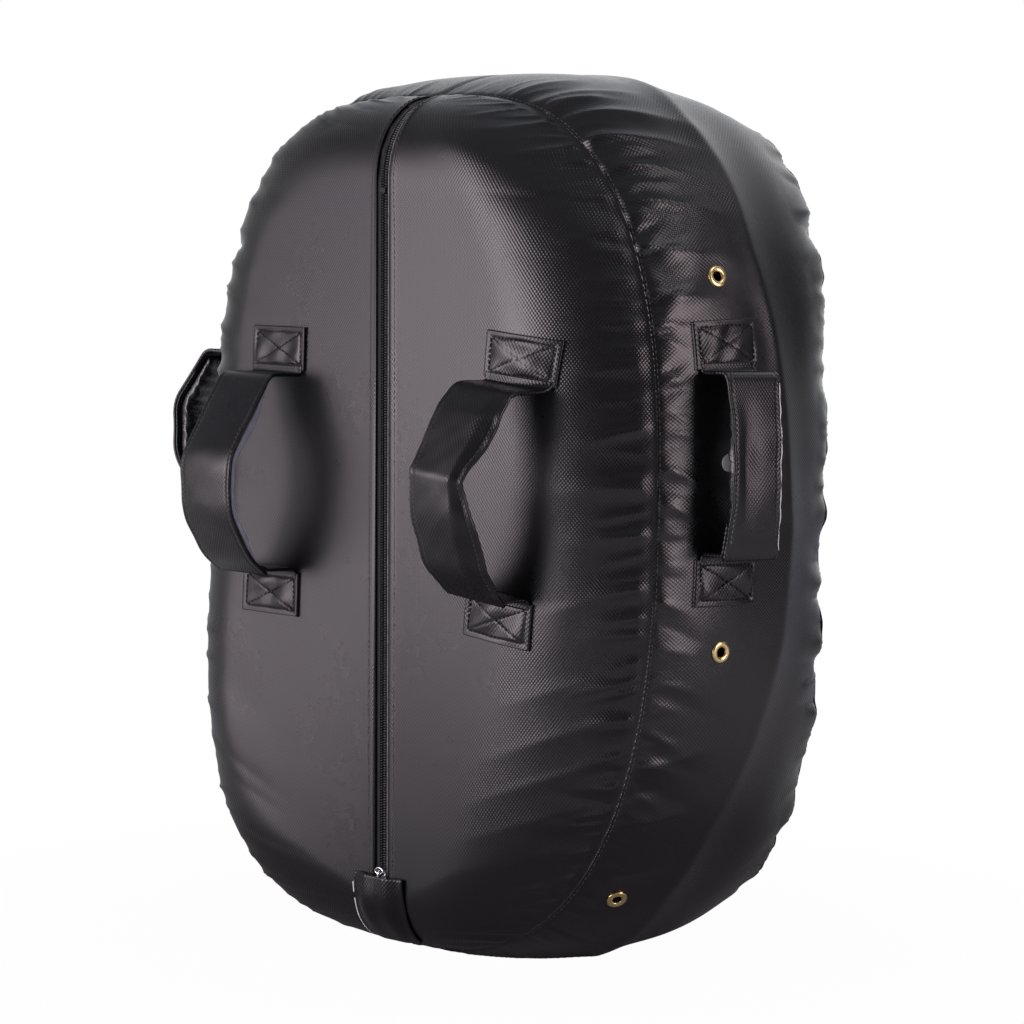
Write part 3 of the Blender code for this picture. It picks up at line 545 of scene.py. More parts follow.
def woven_tape(name):
    made = Nodes(bpy.data.materials.new(name))
    spot = made.spot()
    over, _, along = made.parts(spot)
    waves = (made.wave(along, TAPE_PITCH[0]), made.wave(over, TAPE_PITCH[1]))
    cloth = made.math("MULTIPLY", *(made.math("SINE", wave) for wave in waves))
    shade = made.ramp(cloth, -1.0, 1.0, 0.0, 1.0)
    return made.finished(
        Base_Color=made.mix(shade, (0.006, 0.006, 0.007), (0.016, 0.016, 0.018)),
        Roughness=made.ramp(made.noise(spot, 90.0), 0.3, 0.7, 0.72, 0.88),
        Normal=made.bump(cloth, 0.6, 0.0003),
    )


def grained(name, tone, lighter, rough, scale, bump=0.2, distance=0.0004, metallic=0.0):
    """A plain finish with mottled colour, uneven gloss and a fine bump."""
    made = Nodes(bpy.data.materials.new(name))
    spot = made.spot()
    broad = made.noise(spot, scale, 4.0)
    fine = made.noise(spot, scale * 7, 3.0)
    return made.finished(
        Base_Color=made.mix(made.ramp(broad, 0.3, 0.72, 0.0, 1.0), tone, lighter),
        Roughness=made.ramp(fine, 0.25, 0.75, rough - 0.06, rough + 0.09),
        Normal=made.bump(fine, bump, distance),
        Metallic=metallic,
    )


COVER = vinyl("cover_vinyl")
BACK = vinyl("back_vinyl", rough=0.28, weave=(0.34, 0.46))
STRAP = vinyl("strap_vinyl", (0.0046, 0.0042, 0.0050), 0.27, (0.38, 0.38), 0.30, 0.36)
PATCH = vinyl("patch_vinyl", (0.0048, 0.0043, 0.0048), 0.29, (0.26, 0.26), 0.28, 0.38)
FOLDED = grained("folded_vinyl", (0.010, 0.010, 0.011), (0.020, 0.019, 0.020), 0.26, 60.0, 0.45, 0.0008)
# Pale cut edge of the strap cloth, also the colour of a painted highlight on the flap's edge.
RAW_EDGE_AND_HIGHLIGHT = grained("raw_edge_and_highlight", (0.62, 0.62, 0.63), (0.85, 0.84, 0.84), 0.70, 220.0, 0.4, 0.0003)
THREAD = grained("thread", (0.016, 0.015, 0.016), (0.050, 0.048, 0.048), 0.5, 500.0, 0.5, 0.0002)
DARK_THREAD = grained("dark_thread", (0.004, 0.004, 0.004), (0.010, 0.010, 0.010), 0.75, 500.0, 0.5, 0.0002)
# Pale thread for stitches, also the colour of a painted highlight along the zip tape.
PALE_THREAD_AND_HIGHLIGHT = grained("pale_thread_and_highlight", (0.10, 0.098, 0.098), (0.26, 0.25, 0.25), 0.5, 500.0, 0.5, 0.0002)
TAPE = woven_tape("zip_tape")
COIL = grained("zip_coil", (0.010, 0.010, 0.011), (0.022, 0.022, 0.024), 0.30, 300.0, 0.2, 0.0002)
FOAM = grained("grey_foam", (0.25, 0.25, 0.31), (0.33, 0.33, 0.40), 0.90, 160.0, 0.6, 0.0008)
BRASS = grained("brass", (0.66, 0.48, 0.20), (0.80, 0.63, 0.32), 0.22, 90.0, 0.08, 0.0002, 1.0)
NICKEL = grained("nickel", (0.62, 0.62, 0.64), (0.78, 0.78, 0.80), 0.20, 120.0, 0.08, 0.0002, 1.0)
RIVET = grained("rivet_cap", (0.46, 0.46, 0.46), (0.56, 0.56, 0.56), 0.42, 140.0, 0.12, 0.0002)


# Gathers along a seam
def rolling(length, seed, pitch, total=PERIMETER):
    """A seeded wave between -1 and 1 along a closed seam."""
    count = max(6, int(2 * total / pitch))
    values = np.random.default_rng(seed).uniform(-1, 1, count)
    spot = np.mod(np.asarray(length) / total, 1) * count
    low = np.floor(spot).astype(int)
    t = spot - low
    a, b, c, d = (values[(low + k) % count] for k in (-1, 0, 1, 2))
    return b + 0.5 * t * (c - a + t * (2 * a - 5 * b + 4 * c - d + t * (3 * (b - c) + d - a)))


def gathers(length, distance, layers):
    """Puckers from a seam: soft crests between narrow valleys, finer and shorter the nearer the seam."""
    made = np.zeros(np.broadcast(length, distance).shape)
    for seed, pitch, rise, reach, height in layers:
        lean = 0.55 * rolling(length, seed + 1, 9 * pitch)
        crest = np.abs(rolling(length + lean * distance, seed, pitch)) ** 0.8 - 0.4
        cluster = 0.35 + 0.95 * np.abs(rolling(length, seed + 2, 6 * pitch))
        fade = np.clip(1 - distance / (reach * (0.6 + 0.5 * cluster)), 0, 1) ** 1.3
        made = made + height * crest * cluster * fade * (1 - np.exp(-distance / rise))
    return made


CREST_POWER = 1.18


def fold_list(*rows):
    """Folds given as place, width, reach and height in millimetres, and slant."""
    return [(*(size / 1000 for size in sizes), slant, 0.0) for *sizes, slant in rows]


def folds(length, distance, waves, rise=0.004):
    """Single folds: place on the seam, width, reach, height, slant and bow of each."""
    made = np.zeros(np.broadcast(length, distance).shape)
    for place, width, reach, height, slant, bow in waves:
        share = distance / reach
        off = length - place - slant * distance - bow * distance**2
        off = (off + PERIMETER / 2) % PERIMETER - PERIMETER / 2
        crest = np.exp(-np.abs(off / (width * (1 + 0.7 * share))) ** CREST_POWER)
        fade = np.where(share < 1, (1 - np.clip(share, 0, 1) ** 1.5) ** 1.5, 0)
        made = made + height * crest * fade * (1 - np.exp(-distance / rise))
    return made


def puckers(seed, pitch, width, reach, heights, slant, bow, share=1.0):
    """Folds all along a seam, of uneven place and size; the heights by length are in millimetres."""
    random = np.random.default_rng(seed)
    count = int(PERIMETER / pitch)
    places = (np.arange(count) + random.uniform(-0.38, 0.38, count)) * PERIMETER / count
    heights = share * np.interp(1000 * places, *np.array(heights).T) / 1000
    waves = []
    for place, height in zip(places, heights):
        size = random.uniform(0.35, 1.15)
        side = 1 if place < RIGHT_LENGTH else -1
        wide = width * random.uniform(0.65, 1.35)
        deep = reach * (0.45 + 0.6 * size) * random.uniform(0.8, 1.2)
        lean = side * (slant + random.uniform(-0.22, 0.22))
        waves.append((place, wide, deep, height * size, lean, side * bow * random.uniform(0.2, 1.3)))
    return waves


# How strongly the cover is gathered, by length along the seam
GATHERED = (
    (0.00, 0.25), (0.05, 0.60), (0.10, 1.20), (0.20, 1.30), (0.30, 0.95), (0.40, 0.75), (0.50, 0.95),
    (0.62, 0.95), (0.72, 0.40), (0.84, 0.25), (0.96, 0.40), (1.05, 0.70), (1.20, 0.80), (1.35, 0.80),
    (1.45, 1.00), (1.55, 1.10), (1.62, 0.60), (1.68, 0.25),
)


def gathered(length):
    return np.interp(np.mod(length, PERIMETER), *np.array(GATHERED).T)


def scallop(length):
    """How far the strike seam stands in or out between its gathers."""
    return 0.0032 * rolling(length, 35, 0.040) + 0.0020 * rolling(length, 36, 0.015)


def corner_share(length):
    x, z = outline_at(length, 0.0)
    return np.clip(1.5 * np.abs(x * z) / (HALF_WIDTH * HALF_HEIGHT) - 0.15, 0, 1)


# Handle places
patch_reach = PATCH_FOLD_ROOM + PATCH_LENGTH / 2
patches = {}
for side, word in ((-1, "left"), (1, "right")):
    upper_x, lower_x = (side * offset for offset in BACK_HANDLE_OFFSET[word])
    top = BACK_HANDLE_MIDDLE + BACK_HANDLE_SPAN / 2
    bottom = BACK_HANDLE_MIDDLE - BACK_HANDLE_SPAN / 2
    tilt = (upper_x - lower_x) / BACK_HANDLE_SPAN
    for end, z in (("upper", top + patch_reach), ("lower", bottom - patch_reach)):
        patches[f"back_{word}_{end}"] = (lower_x + tilt * (z - bottom), z, tilt)
    top = length_at_height(SIDE_HANDLE_MIDDLE + SIDE_HANDLE_SPAN / 2, side)
    bottom = length_at_height(SIDE_HANDLE_MIDDLE - SIDE_HANDLE_SPAN / 2, side)
    patches[f"side_{word}_upper"] = (top - side * patch_reach, SIDE_LINE, 0.0)
    patches[f"side_{word}_lower"] = (bottom + side * patch_reach, SIDE_LINE, 0.0)


def patch_surface(name):
    """The cover under a strap end, by distance along the strap and across it."""
    first, second, tilt = patches[name]
    if name.startswith("back"):
        return lambda along, over, lift: back_surface(
            first + over + tilt * along, second + along - tilt * over, lift
        )
    sign = 1 if "right" in name else -1
    return lambda along, over, lift: gusset_surface(
        first - sign * along, second + over / GUSSET_DEPTH, lift
    )


def quiet(points):
    """Falls to 0 on the cover under the sewn ends, where it lies flat."""
    share = np.ones(points.shape[:-1])
    for name in patches:
        centre = patch_surface(name)(np.zeros(1), np.zeros(1), np.zeros(1))[0]
        gap = np.linalg.norm(points - centre, axis=-1)
        share = share * smooth(gap, 0.024, 0.048)
    return share


# Back of the cover
BACK_ROWS = 440
BACK_COLUMNS = 110
SLOT_LENGTH = ZIP_SLOT / 2
slot_top = float(outline_at(np.array([SLOT_LENGTH]), 0.0)[1][0])
BACK_GATHERS = (
    (110, 0.011, 0.0015, 0.016, 0.0009),
    (120, 0.024, 0.0030, 0.045, 0.0022),
    (130, 0.046, 0.0080, 0.085, 0.0020),
)
BACK_FOLDS = fold_list(
    (115, 6.0, 60, 1.8, 0.20), (150, 7.0, 70, 2.0, 0.05), (185, 6.0, 60, 1.8, -0.10),
    (225, 6.0, 60, 1.4, 0.10), (300, 6.0, 75, 1.4, 0.15), (340, 5.5, 70, 1.2, 0.20),
    (372, 6.0, 80, 1.6, 0.20), (408, 5.0, 60, 1.4, 0.10), (440, 6.0, 85, 1.8, 0.30),
    (492, 7.0, 110, 1.1, 0.30), (522, 6.5, 120, 1.2, 0.35), (550, 7.0, 120, 1.2, 0.38),
    (580, 7.0, 110, 1.1, 0.40), (612, 7.5, 100, 1.0, 0.42), (645, 7.0, 80, 1.4, 0.40),
    (1515, 6.0, 45, 1.8, -0.20), (1548, 6.5, 50, 2.0, -0.20), (1580, 6.0, 45, 1.6, -0.20),
    (1000 * length_at_height(0.186, -1), 4.0, 34, -5.0, 0.05),
)
BACK_HEIGHTS = (
    (0, 0.0), (50, 1.2), (100, 2.4), (200, 1.8), (300, 1.6), (440, 2.8), (620, 3.4), (720, 0.8), (840, 0.4),
    (950, 1.6), (1050, 2.8), (1500, 3.0), (1600, 2.0), (1660, 0.6), (1700, 0.0),
)
FINE_SHARE = 0.45
BACK_PUCKERS = puckers(71, 0.0130, 0.0026, 0.040, BACK_HEIGHTS, 0.18, 1.0)
BACK_PUCKERS += puckers(72, 0.0085, 0.0018, 0.014, BACK_HEIGHTS, 0.0, 0.0, FINE_SHARE)
# The folded edge along the zip: over the slot, and down into it
EDGE_ROLL = ((-0.0005, -0.0002), (-0.0007, -0.0008), (-0.0005, -0.0014), (0.0, -0.0016), (0.003, -0.0017))


def out_of_back(points):
    return np.array([0, -1.0, 0]) + 0.2 * (points - [0, 0, MIDDLE_Z])


def back_cover(side, word):
    """One half of the back; its points and normals."""
    steps = np.linspace(0, 1, BACK_ROWS + 1)
    half = RIGHT_LENGTH if side > 0 else PERIMETER - RIGHT_LENGTH
    length = SLOT_LENGTH + (half - 2 * SLOT_LENGTH) * steps
    length = length if side > 0 else PERIMETER - length
    x, z = outline_at(length, 0.0)
    station = slot_top * np.cos(math.pi * steps)
    share = np.linspace(0, 1, BACK_COLUMNS + 1) ** 1.4
    u = x[:, None] + (side * ZIP_SLOT / 2 - x[:, None]) * share
    v = z[:, None] + (station - z)[:, None] * share
    points = back_surface(u, v)
    points[:, 0] = stacked(x, BACK_Y, MIDDLE_Z + z)
    row = np.hypot(side * ZIP_SLOT / 2 - x, station - z)[:, None]
    distance, from_slot = row * share, row * (1 - share)
    strength = (0.6 if side > 0 else 1.0) * gathered(length)[:, None]
    lift = gathers(length[:, None], distance, BACK_GATHERS) * strength
    lift += folds(length[:, None], distance, BACK_FOLDS + BACK_PUCKERS)
    lift -= 0.0008 * near(distance, 0.0022)
    lift *= quiet(points)
    if side > 0:
        lift *= smooth(distance, 0.0, 0.008)
    lift *= smooth(from_slot, 0.004, 0.020)
    raised = 0.0006 if side > 0 else 0.0002
    lift += raised * near(from_slot, 0.0016, 0.0022) * smooth(distance, 0.003, 0.02)
    points = points + grid_normals(points, out_of_back(points)) * lift[..., None]
    roll = []
    for over, drop in EDGE_ROLL:
        edge = zip_surface(side * (ZIP_SLOT / 2 + over), station, drop)
        edge[0], edge[-1] = points[0, -1], points[-1, -1]
        roll.append(edge)
    points = np.concatenate([points, np.stack(roll, axis=1)], axis=1)
    points[..., 2] = np.maximum(points[..., 2], FLOOR_DROP)
    rows, columns = points.shape[:2]
    run = run_along(points.transpose(1, 0, 2)).T
    flat = stacked(side * (run[:, -1:] - run), station[:, None])
    faces = grid_faces(rows, columns, flip=side > 0).tolist()
    piece = add_mesh(f"cover_back_{word}", points, faces, BACK, flat)
    settle(piece, "shell", "vinyl", f"back_panel_{word}", soft=0.85)
    if side > 0:
        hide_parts("back_foam")
    return points, grid_normals(points, out_of_back(points))


SIDES = ((-1, "left"), (1, "right"))
back_pieces = {word: back_cover(side, word) for side, word in SIDES}

# Gusset of the cover
GUSSET_ROWS = 900
GUSSET_COLUMNS = 96
GUSSET_GATHERS = (
    (210, 0.011, 0.0015, 0.016, 0.0011),
    (220, 0.026, 0.0030, 0.042, 0.0032),
    (230, 0.050, 0.0080, 0.080, 0.0026),
)
STRIKE_SIDE_GATHERS = (
    (310, 0.012, 0.0020, 0.016, 0.0010),
    (320, 0.028, 0.0030, 0.036, 0.0028),
    (330, 0.050, 0.0080, 0.060, 0.0020),
)
# Where the firm front layer's edge presses on the gusset: length along the back seam, share of its depth
RIDGE = (
    (0.00, 0.64), (0.07, 0.60), (0.14, 0.46), (0.23, 0.48), (0.33, 0.59), (0.41, 0.65), (0.48, 0.62),
    (0.54, 0.52), (0.60, 0.40), (0.65, 0.36), (0.75, 0.45), (0.84, 0.50),
)
TOP_FOLDS = fold_list(
    (62, 5.5, 60, 3.0, 0.30), (86, 6.0, 75, 4.2, 0.35), (112, 7.0, 95, 5.0, 0.45),
    (139, 6.0, 90, 4.8, 0.40), (163, 5.5, 80, 4.6, 0.35), (190, 6.0, 85, 4.8, 0.30),
    (222, 5.5, 70, 3.6, 0.25), (256, 5.5, 60, 3.0, 0.15), (560, 6.0, 70, 2.6, -0.30),
    (602, 6.5, 75, 3.0, -0.35), (640, 6.0, 60, 2.8, -0.30),
    (1480, 6.0, 80, 3.6, -0.35), (1520, 6.0, 90, 4.2, -0.35), (1555, 5.5, 70, 3.6, -0.30),
    (1590, 5.5, 60, 3.0, -0.25),
)
GUSSET_HEIGHTS = (
    (0, 0.6), (50, 1.8), (100, 3.0), (220, 3.0), (320, 2.6), (450, 2.2), (580, 2.4), (660, 1.8), (740, 0.8),
    (940, 0.8), (1050, 1.8), (1450, 2.6), (1600, 2.6), (1700, 0.6),
)
GUSSET_PUCKERS = puckers(73, 0.0150, 0.0030, 0.044, GUSSET_HEIGHTS, 0.25, 3.0)
GUSSET_PUCKERS += puckers(74, 0.0080, 0.0016, 0.016, GUSSET_HEIGHTS, 0.1, 0.0, FINE_SHARE)
STRIKE_HEIGHTS = ((0, 1.2), (100, 2.4), (650, 2.4), (800, 1.0), (950, 1.6), (1700, 1.6))
STRIKE_PUCKERS = puckers(75, 0.0160, 0.0032, 0.026, STRIKE_HEIGHTS, 0.0, 2.0)


def fixing_place(node, crown):
    """A fixing's own frame, found from its round rim."""
    points = np.array([vertex.co for vertex in node.data.vertices])
    centre = points.mean(axis=0)
    axis = np.linalg.svd(points - centre)[2][2]
    axis = axis if axis[0] * centre[0] > 0 else -axis
    foot = centre + axis * (((points - centre) @ axis).max() - crown - FIXING_LIFT)
    across = unit(np.cross(axis, [0.0, 0.0, 1.0]))
    return place_of(foot, np.cross(axis, across), across)


crowns = {"eyelet": EYELET_CROWN, "cap": RIVET_CROWN}
fixings = {
    name: fixing_place(node, crowns[name.split("_")[0]])
    for name, node in frame["nodes"].items()
    if name.startswith(("eyelet", "cap_rivet"))
}


def gusset_cover():
    """The strip round the shield; its points, normals and shares of the depth."""
    length = np.linspace(0, PERIMETER, GUSSET_ROWS + 1)
    t = np.linspace(0, 1, GUSSET_COLUMNS + 1)
    share = 0.5 - 0.5 * np.cos(math.pi * t) * (1 - 0.18 * np.sin(math.pi * t) ** 2)
    length_grid, share_grid = np.meshgrid(length, share, indexing="ij")
    points = gusset_surface(length_grid, share_grid)
    out_x, out_z = outline_normal(length_grid, share_grid)
    outward = stacked(out_x, 0.0, out_z)
    normal = grid_normals(points, outward)
    back_gap = share_grid * GUSSET_DEPTH
    strike_gap = (1 - share_grid) * GUSSET_DEPTH
    lift = gathers(length_grid, back_gap, GUSSET_GATHERS) * gathered(length)[:, None]
    lift += folds(length_grid, back_gap, TOP_FOLDS + GUSSET_PUCKERS, 0.009)
    lift += gathers(length_grid, strike_gap, STRIKE_SIDE_GATHERS)
    lift += folds(length_grid, strike_gap, STRIKE_PUCKERS)
    lift -= 0.0008 * near(back_gap, 0.0022) + 0.0010 * near(strike_gap, 0.0025)
    half_way = np.where(length <= RIGHT_LENGTH, length, PERIMETER - length)
    line = np.interp(half_way, *np.array(RIDGE).T)[:, None]
    ridge = (share_grid - line) * GUSSET_DEPTH
    lift += 0.0022 * np.exp(-np.abs(ridge / 0.011) ** 1.4) - 0.0012 * near(ridge, 0.022, 0.028)
    lift *= quiet(points)
    for place in fixings.values():
        gap = np.linalg.norm(points - place[:3, 3], axis=-1)
        lift = lift * smooth(gap, 0.008, 0.022) - 0.0009 * near(gap, 0.011)
    lift -= 0.0014 * near(np.minimum(length_grid, PERIMETER - length_grid), 0.0030)
    points = points + normal * lift[..., None]
    points += outward * (scallop(length_grid) * np.exp(-strike_gap / SCALLOP_REACH))[..., None]
    points[..., 2] = np.maximum(points[..., 2], 0.0)
    faces = grid_faces(*points.shape[:2])
    middle = points.reshape(-1, 3)[faces].mean(axis=1)
    for name, place in fixings.items():
        if name.startswith("eyelet"):
            keep = np.linalg.norm(middle - place[:3, 3], axis=1) > EYELET_CUT
            faces, middle = faces[keep], middle[keep]
    flat = stacked(length_grid, share_grid * (GUSSET_DEPTH + GUSSET_SLACK))
    piece = add_mesh("cover_gusset", points, faces.tolist(), COVER, flat)
    settle(piece, "shell", "vinyl", "gusset", "core_foam", soft=0.8)
    return points, grid_normals(points, outward), share


gusset_points, gusset_normals, gusset_shares = gusset_cover()

# Strike face of the cover
STRIKE_ROWS = 900
STRIKE_COLUMNS = 60
STRIKE_GATHERS = (
    (410, 0.012, 0.0020, 0.016, 0.0007),
    (420, 0.028, 0.0030, 0.040, 0.0020),
    (430, 0.050, 0.0080, 0.070, 0.0016),
)


def strike_cover():
    length = np.linspace(0, PERIMETER, STRIKE_ROWS, endpoint=False)
    share = 1 - np.linspace(0, 1, STRIKE_COLUMNS + 1) ** 1.25 * 0.994
    x, z = outline_at(length, 1.0)
    crown = STRIKE_CROWN * (1 - share**STRIKE_CROWN_POWER)
    y = FRONT_Y + SKIN + crown
    points = stacked(x[:, None] * share, y, MIDDLE_Z + z[:, None] * share)
    distance = np.hypot(x, z)[:, None] * (1 - share)
    strength = (0.7 + 0.6 * corner_share(length))[:, None]
    points[..., 1] += gathers(length[:, None], distance, STRIKE_GATHERS) * strength
    points[..., 1] -= 0.0010 * near(distance, 0.0025)
    points[:, 0, 1] = FRONT_Y
    out_x, out_z = outline_normal(length, 1.0)
    push = scallop(length)[:, None] * np.exp(-distance / SCALLOP_REACH)
    points[..., 0] += out_x[:, None] * push
    points[..., 2] = np.maximum(points[..., 2] + out_z[:, None] * push, 0.0)
    points = points.transpose(1, 0, 2)
    faces = grid_faces(*points.shape[:2], wrap=True).tolist()
    last = (points.shape[0] - 1) * STRIKE_ROWS
    faces.append(list(range(last, last + STRIKE_ROWS))[::-1])
    piece = add_mesh("cover_strike", points, faces, COVER, points[..., [0, 2]])
    settle(piece, "shell", "vinyl", "strike_panel", "strike_foam", soft=0.9)


strike_cover()

# Seam stitching
near_back = int(np.argmin(np.abs(gusset_shares * GUSSET_DEPTH - 0.0018)))
near_strike = int(np.argmin(np.abs((1 - gusset_shares) * GUSSET_DEPTH - 0.0032)))
lines = [(gusset_points[:, k], gusset_normals[:, k]) for k in (near_back, near_strike)]
settle(stitches("stitch_seams", lines, THREAD, *SEAM_STITCH), "shell", "vinyl")

# Zip: stitching beside the slot, teeth, stops, slider and ring
span, column = slice(14, BACK_ROWS - 13), BACK_COLUMNS - 2
lines = [(points[span, column], normals[span, column]) for points, normals in back_pieces.values()]
settle(stitches("stitch_zip", lines, THREAD, *ZIP_STITCH), "shell", "vinyl")

zip_reach = slot_top * math.cos(math.pi / 24)
zip_heights = np.linspace(zip_reach, -zip_reach, 2400)
zip_line = zip_surface(0 * zip_heights, zip_heights)
zip_away = unit(zip_surface(0 * zip_heights, zip_heights, 0.001) - zip_line)
COIL_INNER = COIL_SPACING / 2
COIL_OUTER = COIL_INNER + COIL_WIDTH
TOOTH_SIDES = 8
# Places across a tooth and its size there
TOOTH_STATIONS = (
    (COIL_INNER, 0.55), (COIL_INNER + 0.0002, 0.95), (COIL_INNER + 0.0008, 1.0), (COIL_INNER + 0.0013, 0.8),
    (COIL_OUTER - 0.0003, 0.75), (COIL_OUTER, 0.45),
)


def zip_teeth(side, word):
    """One row of bent coil turns, each a rounded bar with a fuller head at the middle of the zip."""
    place, along, away = (v[:, None, None] for v in resampled(zip_line, zip_away, TOOTH_PITCH))
    over, size = np.array(TOOTH_STATIONS).T[:, :, None, None]
    turns = turns_of(TOOTH_SIDES)[:, None]
    ahead = 0.25 * side * TOOTH_PITCH + np.cos(turns) * 0.00074 * size + 0.0003 * (over / COIL_OUTER)
    rise = np.sin(turns) * COIL_HEIGHT / 2 * size - COIL_DEPTH - COIL_HEIGHT / 2
    points = place + along * ahead + away * rise
    points[..., 0] = side * over[..., 0]
    faces = copies(loft_faces(points[0]), len(points), len(TOOTH_STATIONS) * TOOTH_SIDES)
    settle(add_mesh(f"teeth_{word}", points, faces, COIL), "shell", "zip_coil", f"zip_coil_{word}")


for side, word in SIDES:
    zip_teeth(side, word)
    frame["nodes"][f"zip_tape_{word}"].material_slots[0].material = TAPE

# A pale cord along the right-hand tape: a painted highlight on the tape's edge.
HIGHLIGHT_LINE_OVER = 0.0048
highlight_line = zip_surface(np.full(420, HIGHLIGHT_LINE_OVER), np.linspace(0.97, -0.86, 420) * zip_reach, -0.0012)
settle(bead("tape_painted_highlight", highlight_line, 0.00045, PALE_THREAD_AND_HIGHLIGHT), "shell", "zip_tape")


def layered(name, outline, levels, place, finish):
    """An outline stacked in levels of (height, inset), capped at both ends: a plate with eased edges."""
    outline = np.array(outline, float)
    ahead = unit(np.roll(outline, -1, axis=0) - outline)
    over = ahead + np.roll(ahead, 1, axis=0)
    inward = unit(stacked(-over[:, 1], over[:, 0]))
    rings = [np.insert(outline + inward * inset, 2, height, axis=1) for height, inset in levels]
    return add_loft(name, moved(np.array(rings), place), finish)


def eased(corners, radius, steps=5):
    """A closed outline with its corners rounded."""
    corners = np.array(corners, float)
    before, after = (unit(np.roll(corners, way, axis=0) - corners) * radius for way in (1, -1))
    t = np.linspace(0, 1, steps + 1)[:, None]
    return np.concatenate([c + b * (1 - t) ** 2 + a * t**2 for c, b, a in zip(corners, before, after)])


def rectangle(half_width, low, high):
    return [(-half_width, low), (half_width, low), (half_width, high), (-half_width, high)]


def joined(name, pieces):
    """Several meshes made one piece."""
    with bpy.context.temp_override(active_object=pieces[0], selected_editable_objects=pieces):
        bpy.ops.object.join()
    pieces[0].name = name
    return pieces[0]


slide = joints["zip_slide"]
slider_place = place_of(slide["pos_m"], slide["axis"])
plate_foot = -(COIL_DEPTH - 0.0004)
plate_top = plate_foot + SLIDER_PLATE
base_top = -(COIL_DEPTH + COIL_HEIGHT + 0.0004)
wide, half = SLIDER_WIDTH / 2, SLIDER_LENGTH / 2
right_side = [(0.72, -1), (0.80, -0.3), (1, 0.45), (0.86, 1), (0.22, 0.90)]
plan = [(x * wide, y * half) for x, y in right_side]
plan = eased([(-x, y) for x, y in plan[:1]] + plan + [(-x, y) for x, y in plan[:0:-1]], 0.0009)
PLATE_EASE = 0.0004


def plate(name, low, high):
    """The slider's plan between two heights, with eased edges."""
    steps = [(PLATE_EASE * up, PLATE_EASE * inset) for up, inset in ((0, 1), (1 / 3, 1 / 3), (1, 0))]
    levels = [(low + up, inset) for up, inset in steps] + [(high - up, inset) for up, inset in steps[::-1]]
    return layered(name, plan, levels, slider_place, NICKEL)


def bent_bar(name, spine, width, thick, place, finish):
    """A flat bar bent along a line in the local YZ plane."""
    ahead = unit(np.gradient(spine, axis=0))
    up = stacked(-ahead[:, 1], ahead[:, 0])
    turns = turns_of(12)
    rings = np.zeros((len(spine), len(turns), 3))
    rings[..., 0] = signed_power(np.cos(turns), 0.5) * width / 2
    rise = signed_power(np.sin(turns), 0.5) * thick / 2
    rings[..., 1:] = spine[:, None] + up[:, None] * rise[None, :, None]
    return add_loft(name, moved(rings, place), finish)


eye = RING_WIRE + 0.0006
eye_y = half - 0.0032
roof = plate_top + eye + 0.0006
low, high = eye_y - eye - 0.0016, eye_y + eye / 2 + 0.0006
bridge = [(low - 0.0006, plate_top - 0.0002), (low - 0.0005, roof - 0.0009), (low + 0.0003, roof)]
bridge += [(eye_y - 0.0006, roof), (high - 0.0003, roof - 0.0001), (high, roof - 0.0009)]
bridge = np.array([*bridge, (high, plate_top - 0.0002)])
spine = read_at(np.linspace(0, len(bridge) - 1, 40), np.arange(len(bridge)), bridge)
spine[1:-1] = (spine[:-2] + spine[1:-1] + spine[2:]) / 3
web_plan = eased(rectangle(0.0002, -half + 0.001, half - 0.003), 0.0001, 2)
web_levels = [(base_top - 0.0003, 0), (plate_foot + 0.0003, 0)]
slider_parts = [
    plate("slider_top", plate_foot, plate_top),
    plate("slider_base", base_top - SLIDER_PLATE, base_top),
    bent_bar("slider_bridge", spine, 0.0024, 0.0011, slider_place, NICKEL),
    layered("slider_web", web_plan, web_levels, slider_place, NICKEL),
]
settle(joined("slider", slider_parts), "zip_slider", "nickel", "zip_slider")

RING_STEPS = 56
WIRE_STEPS = 14
ring_place = place_of(joints["pull_ring_swing"]["pos_m"], slide["axis"])
turns, bends = turns_of(RING_STEPS), turns_of(WIRE_STEPS)[None, :, None]
sine, cosine = np.sin(turns), np.cos(turns)
spot = stacked(RING_HALF_WIDTH * sine, RING_HALF_HEIGHT * (1 - cosine), 0.0)
out = unit(stacked(RING_HALF_HEIGHT * sine, -RING_HALF_WIDTH * cosine, 0.0))
wire = out[:, None] * np.cos(bends) + np.array([0, 0, 1.0]) * np.sin(bends)
wire = moved(spot[:, None] + wire * RING_WIRE / 2, ring_place)
faces = grid_faces(RING_STEPS + 1, WIRE_STEPS, wrap=True) % (RING_STEPS * WIRE_STEPS)
settle(add_mesh("pull_ring", wire, faces.tolist(), NICKEL), "zip_pull_ring", "nickel", "zip_pull_ring")

stop_gap = SLIDER_LENGTH / 2 + STOP_LENGTH
stop_plan = eased(rectangle(COIL_OUTER, -STOP_LENGTH / 2, STOP_LENGTH / 2), 0.0008)
stop_base = -(COIL_DEPTH - 0.0003)
stop_levels = ((0, 0), (0.6, 0), (0.9, 0.0003), (1, 0.0009))
stop_levels = [(stop_base + STOP_HEIGHT * share, inset) for share, inset in stop_levels]
for word, z in (("bottom", SLIDER_REST - stop_gap), ("top", SLIDER_REST + ZIP_TRAVEL + stop_gap)):
    below, here, over = zip_surface(np.zeros(3), z + np.array([-0.001, 0, 0.001]))
    piece = layered(f"clip_{word}_stop", stop_plan, stop_levels, place_of(here, over - below), DARK_THREAD)
    settle(piece, "shell", "nickel", f"zip_{word}_stop")


# Sheets with a thickness and round edges, for the flap and the straps
SEWN_LINE = 0.865


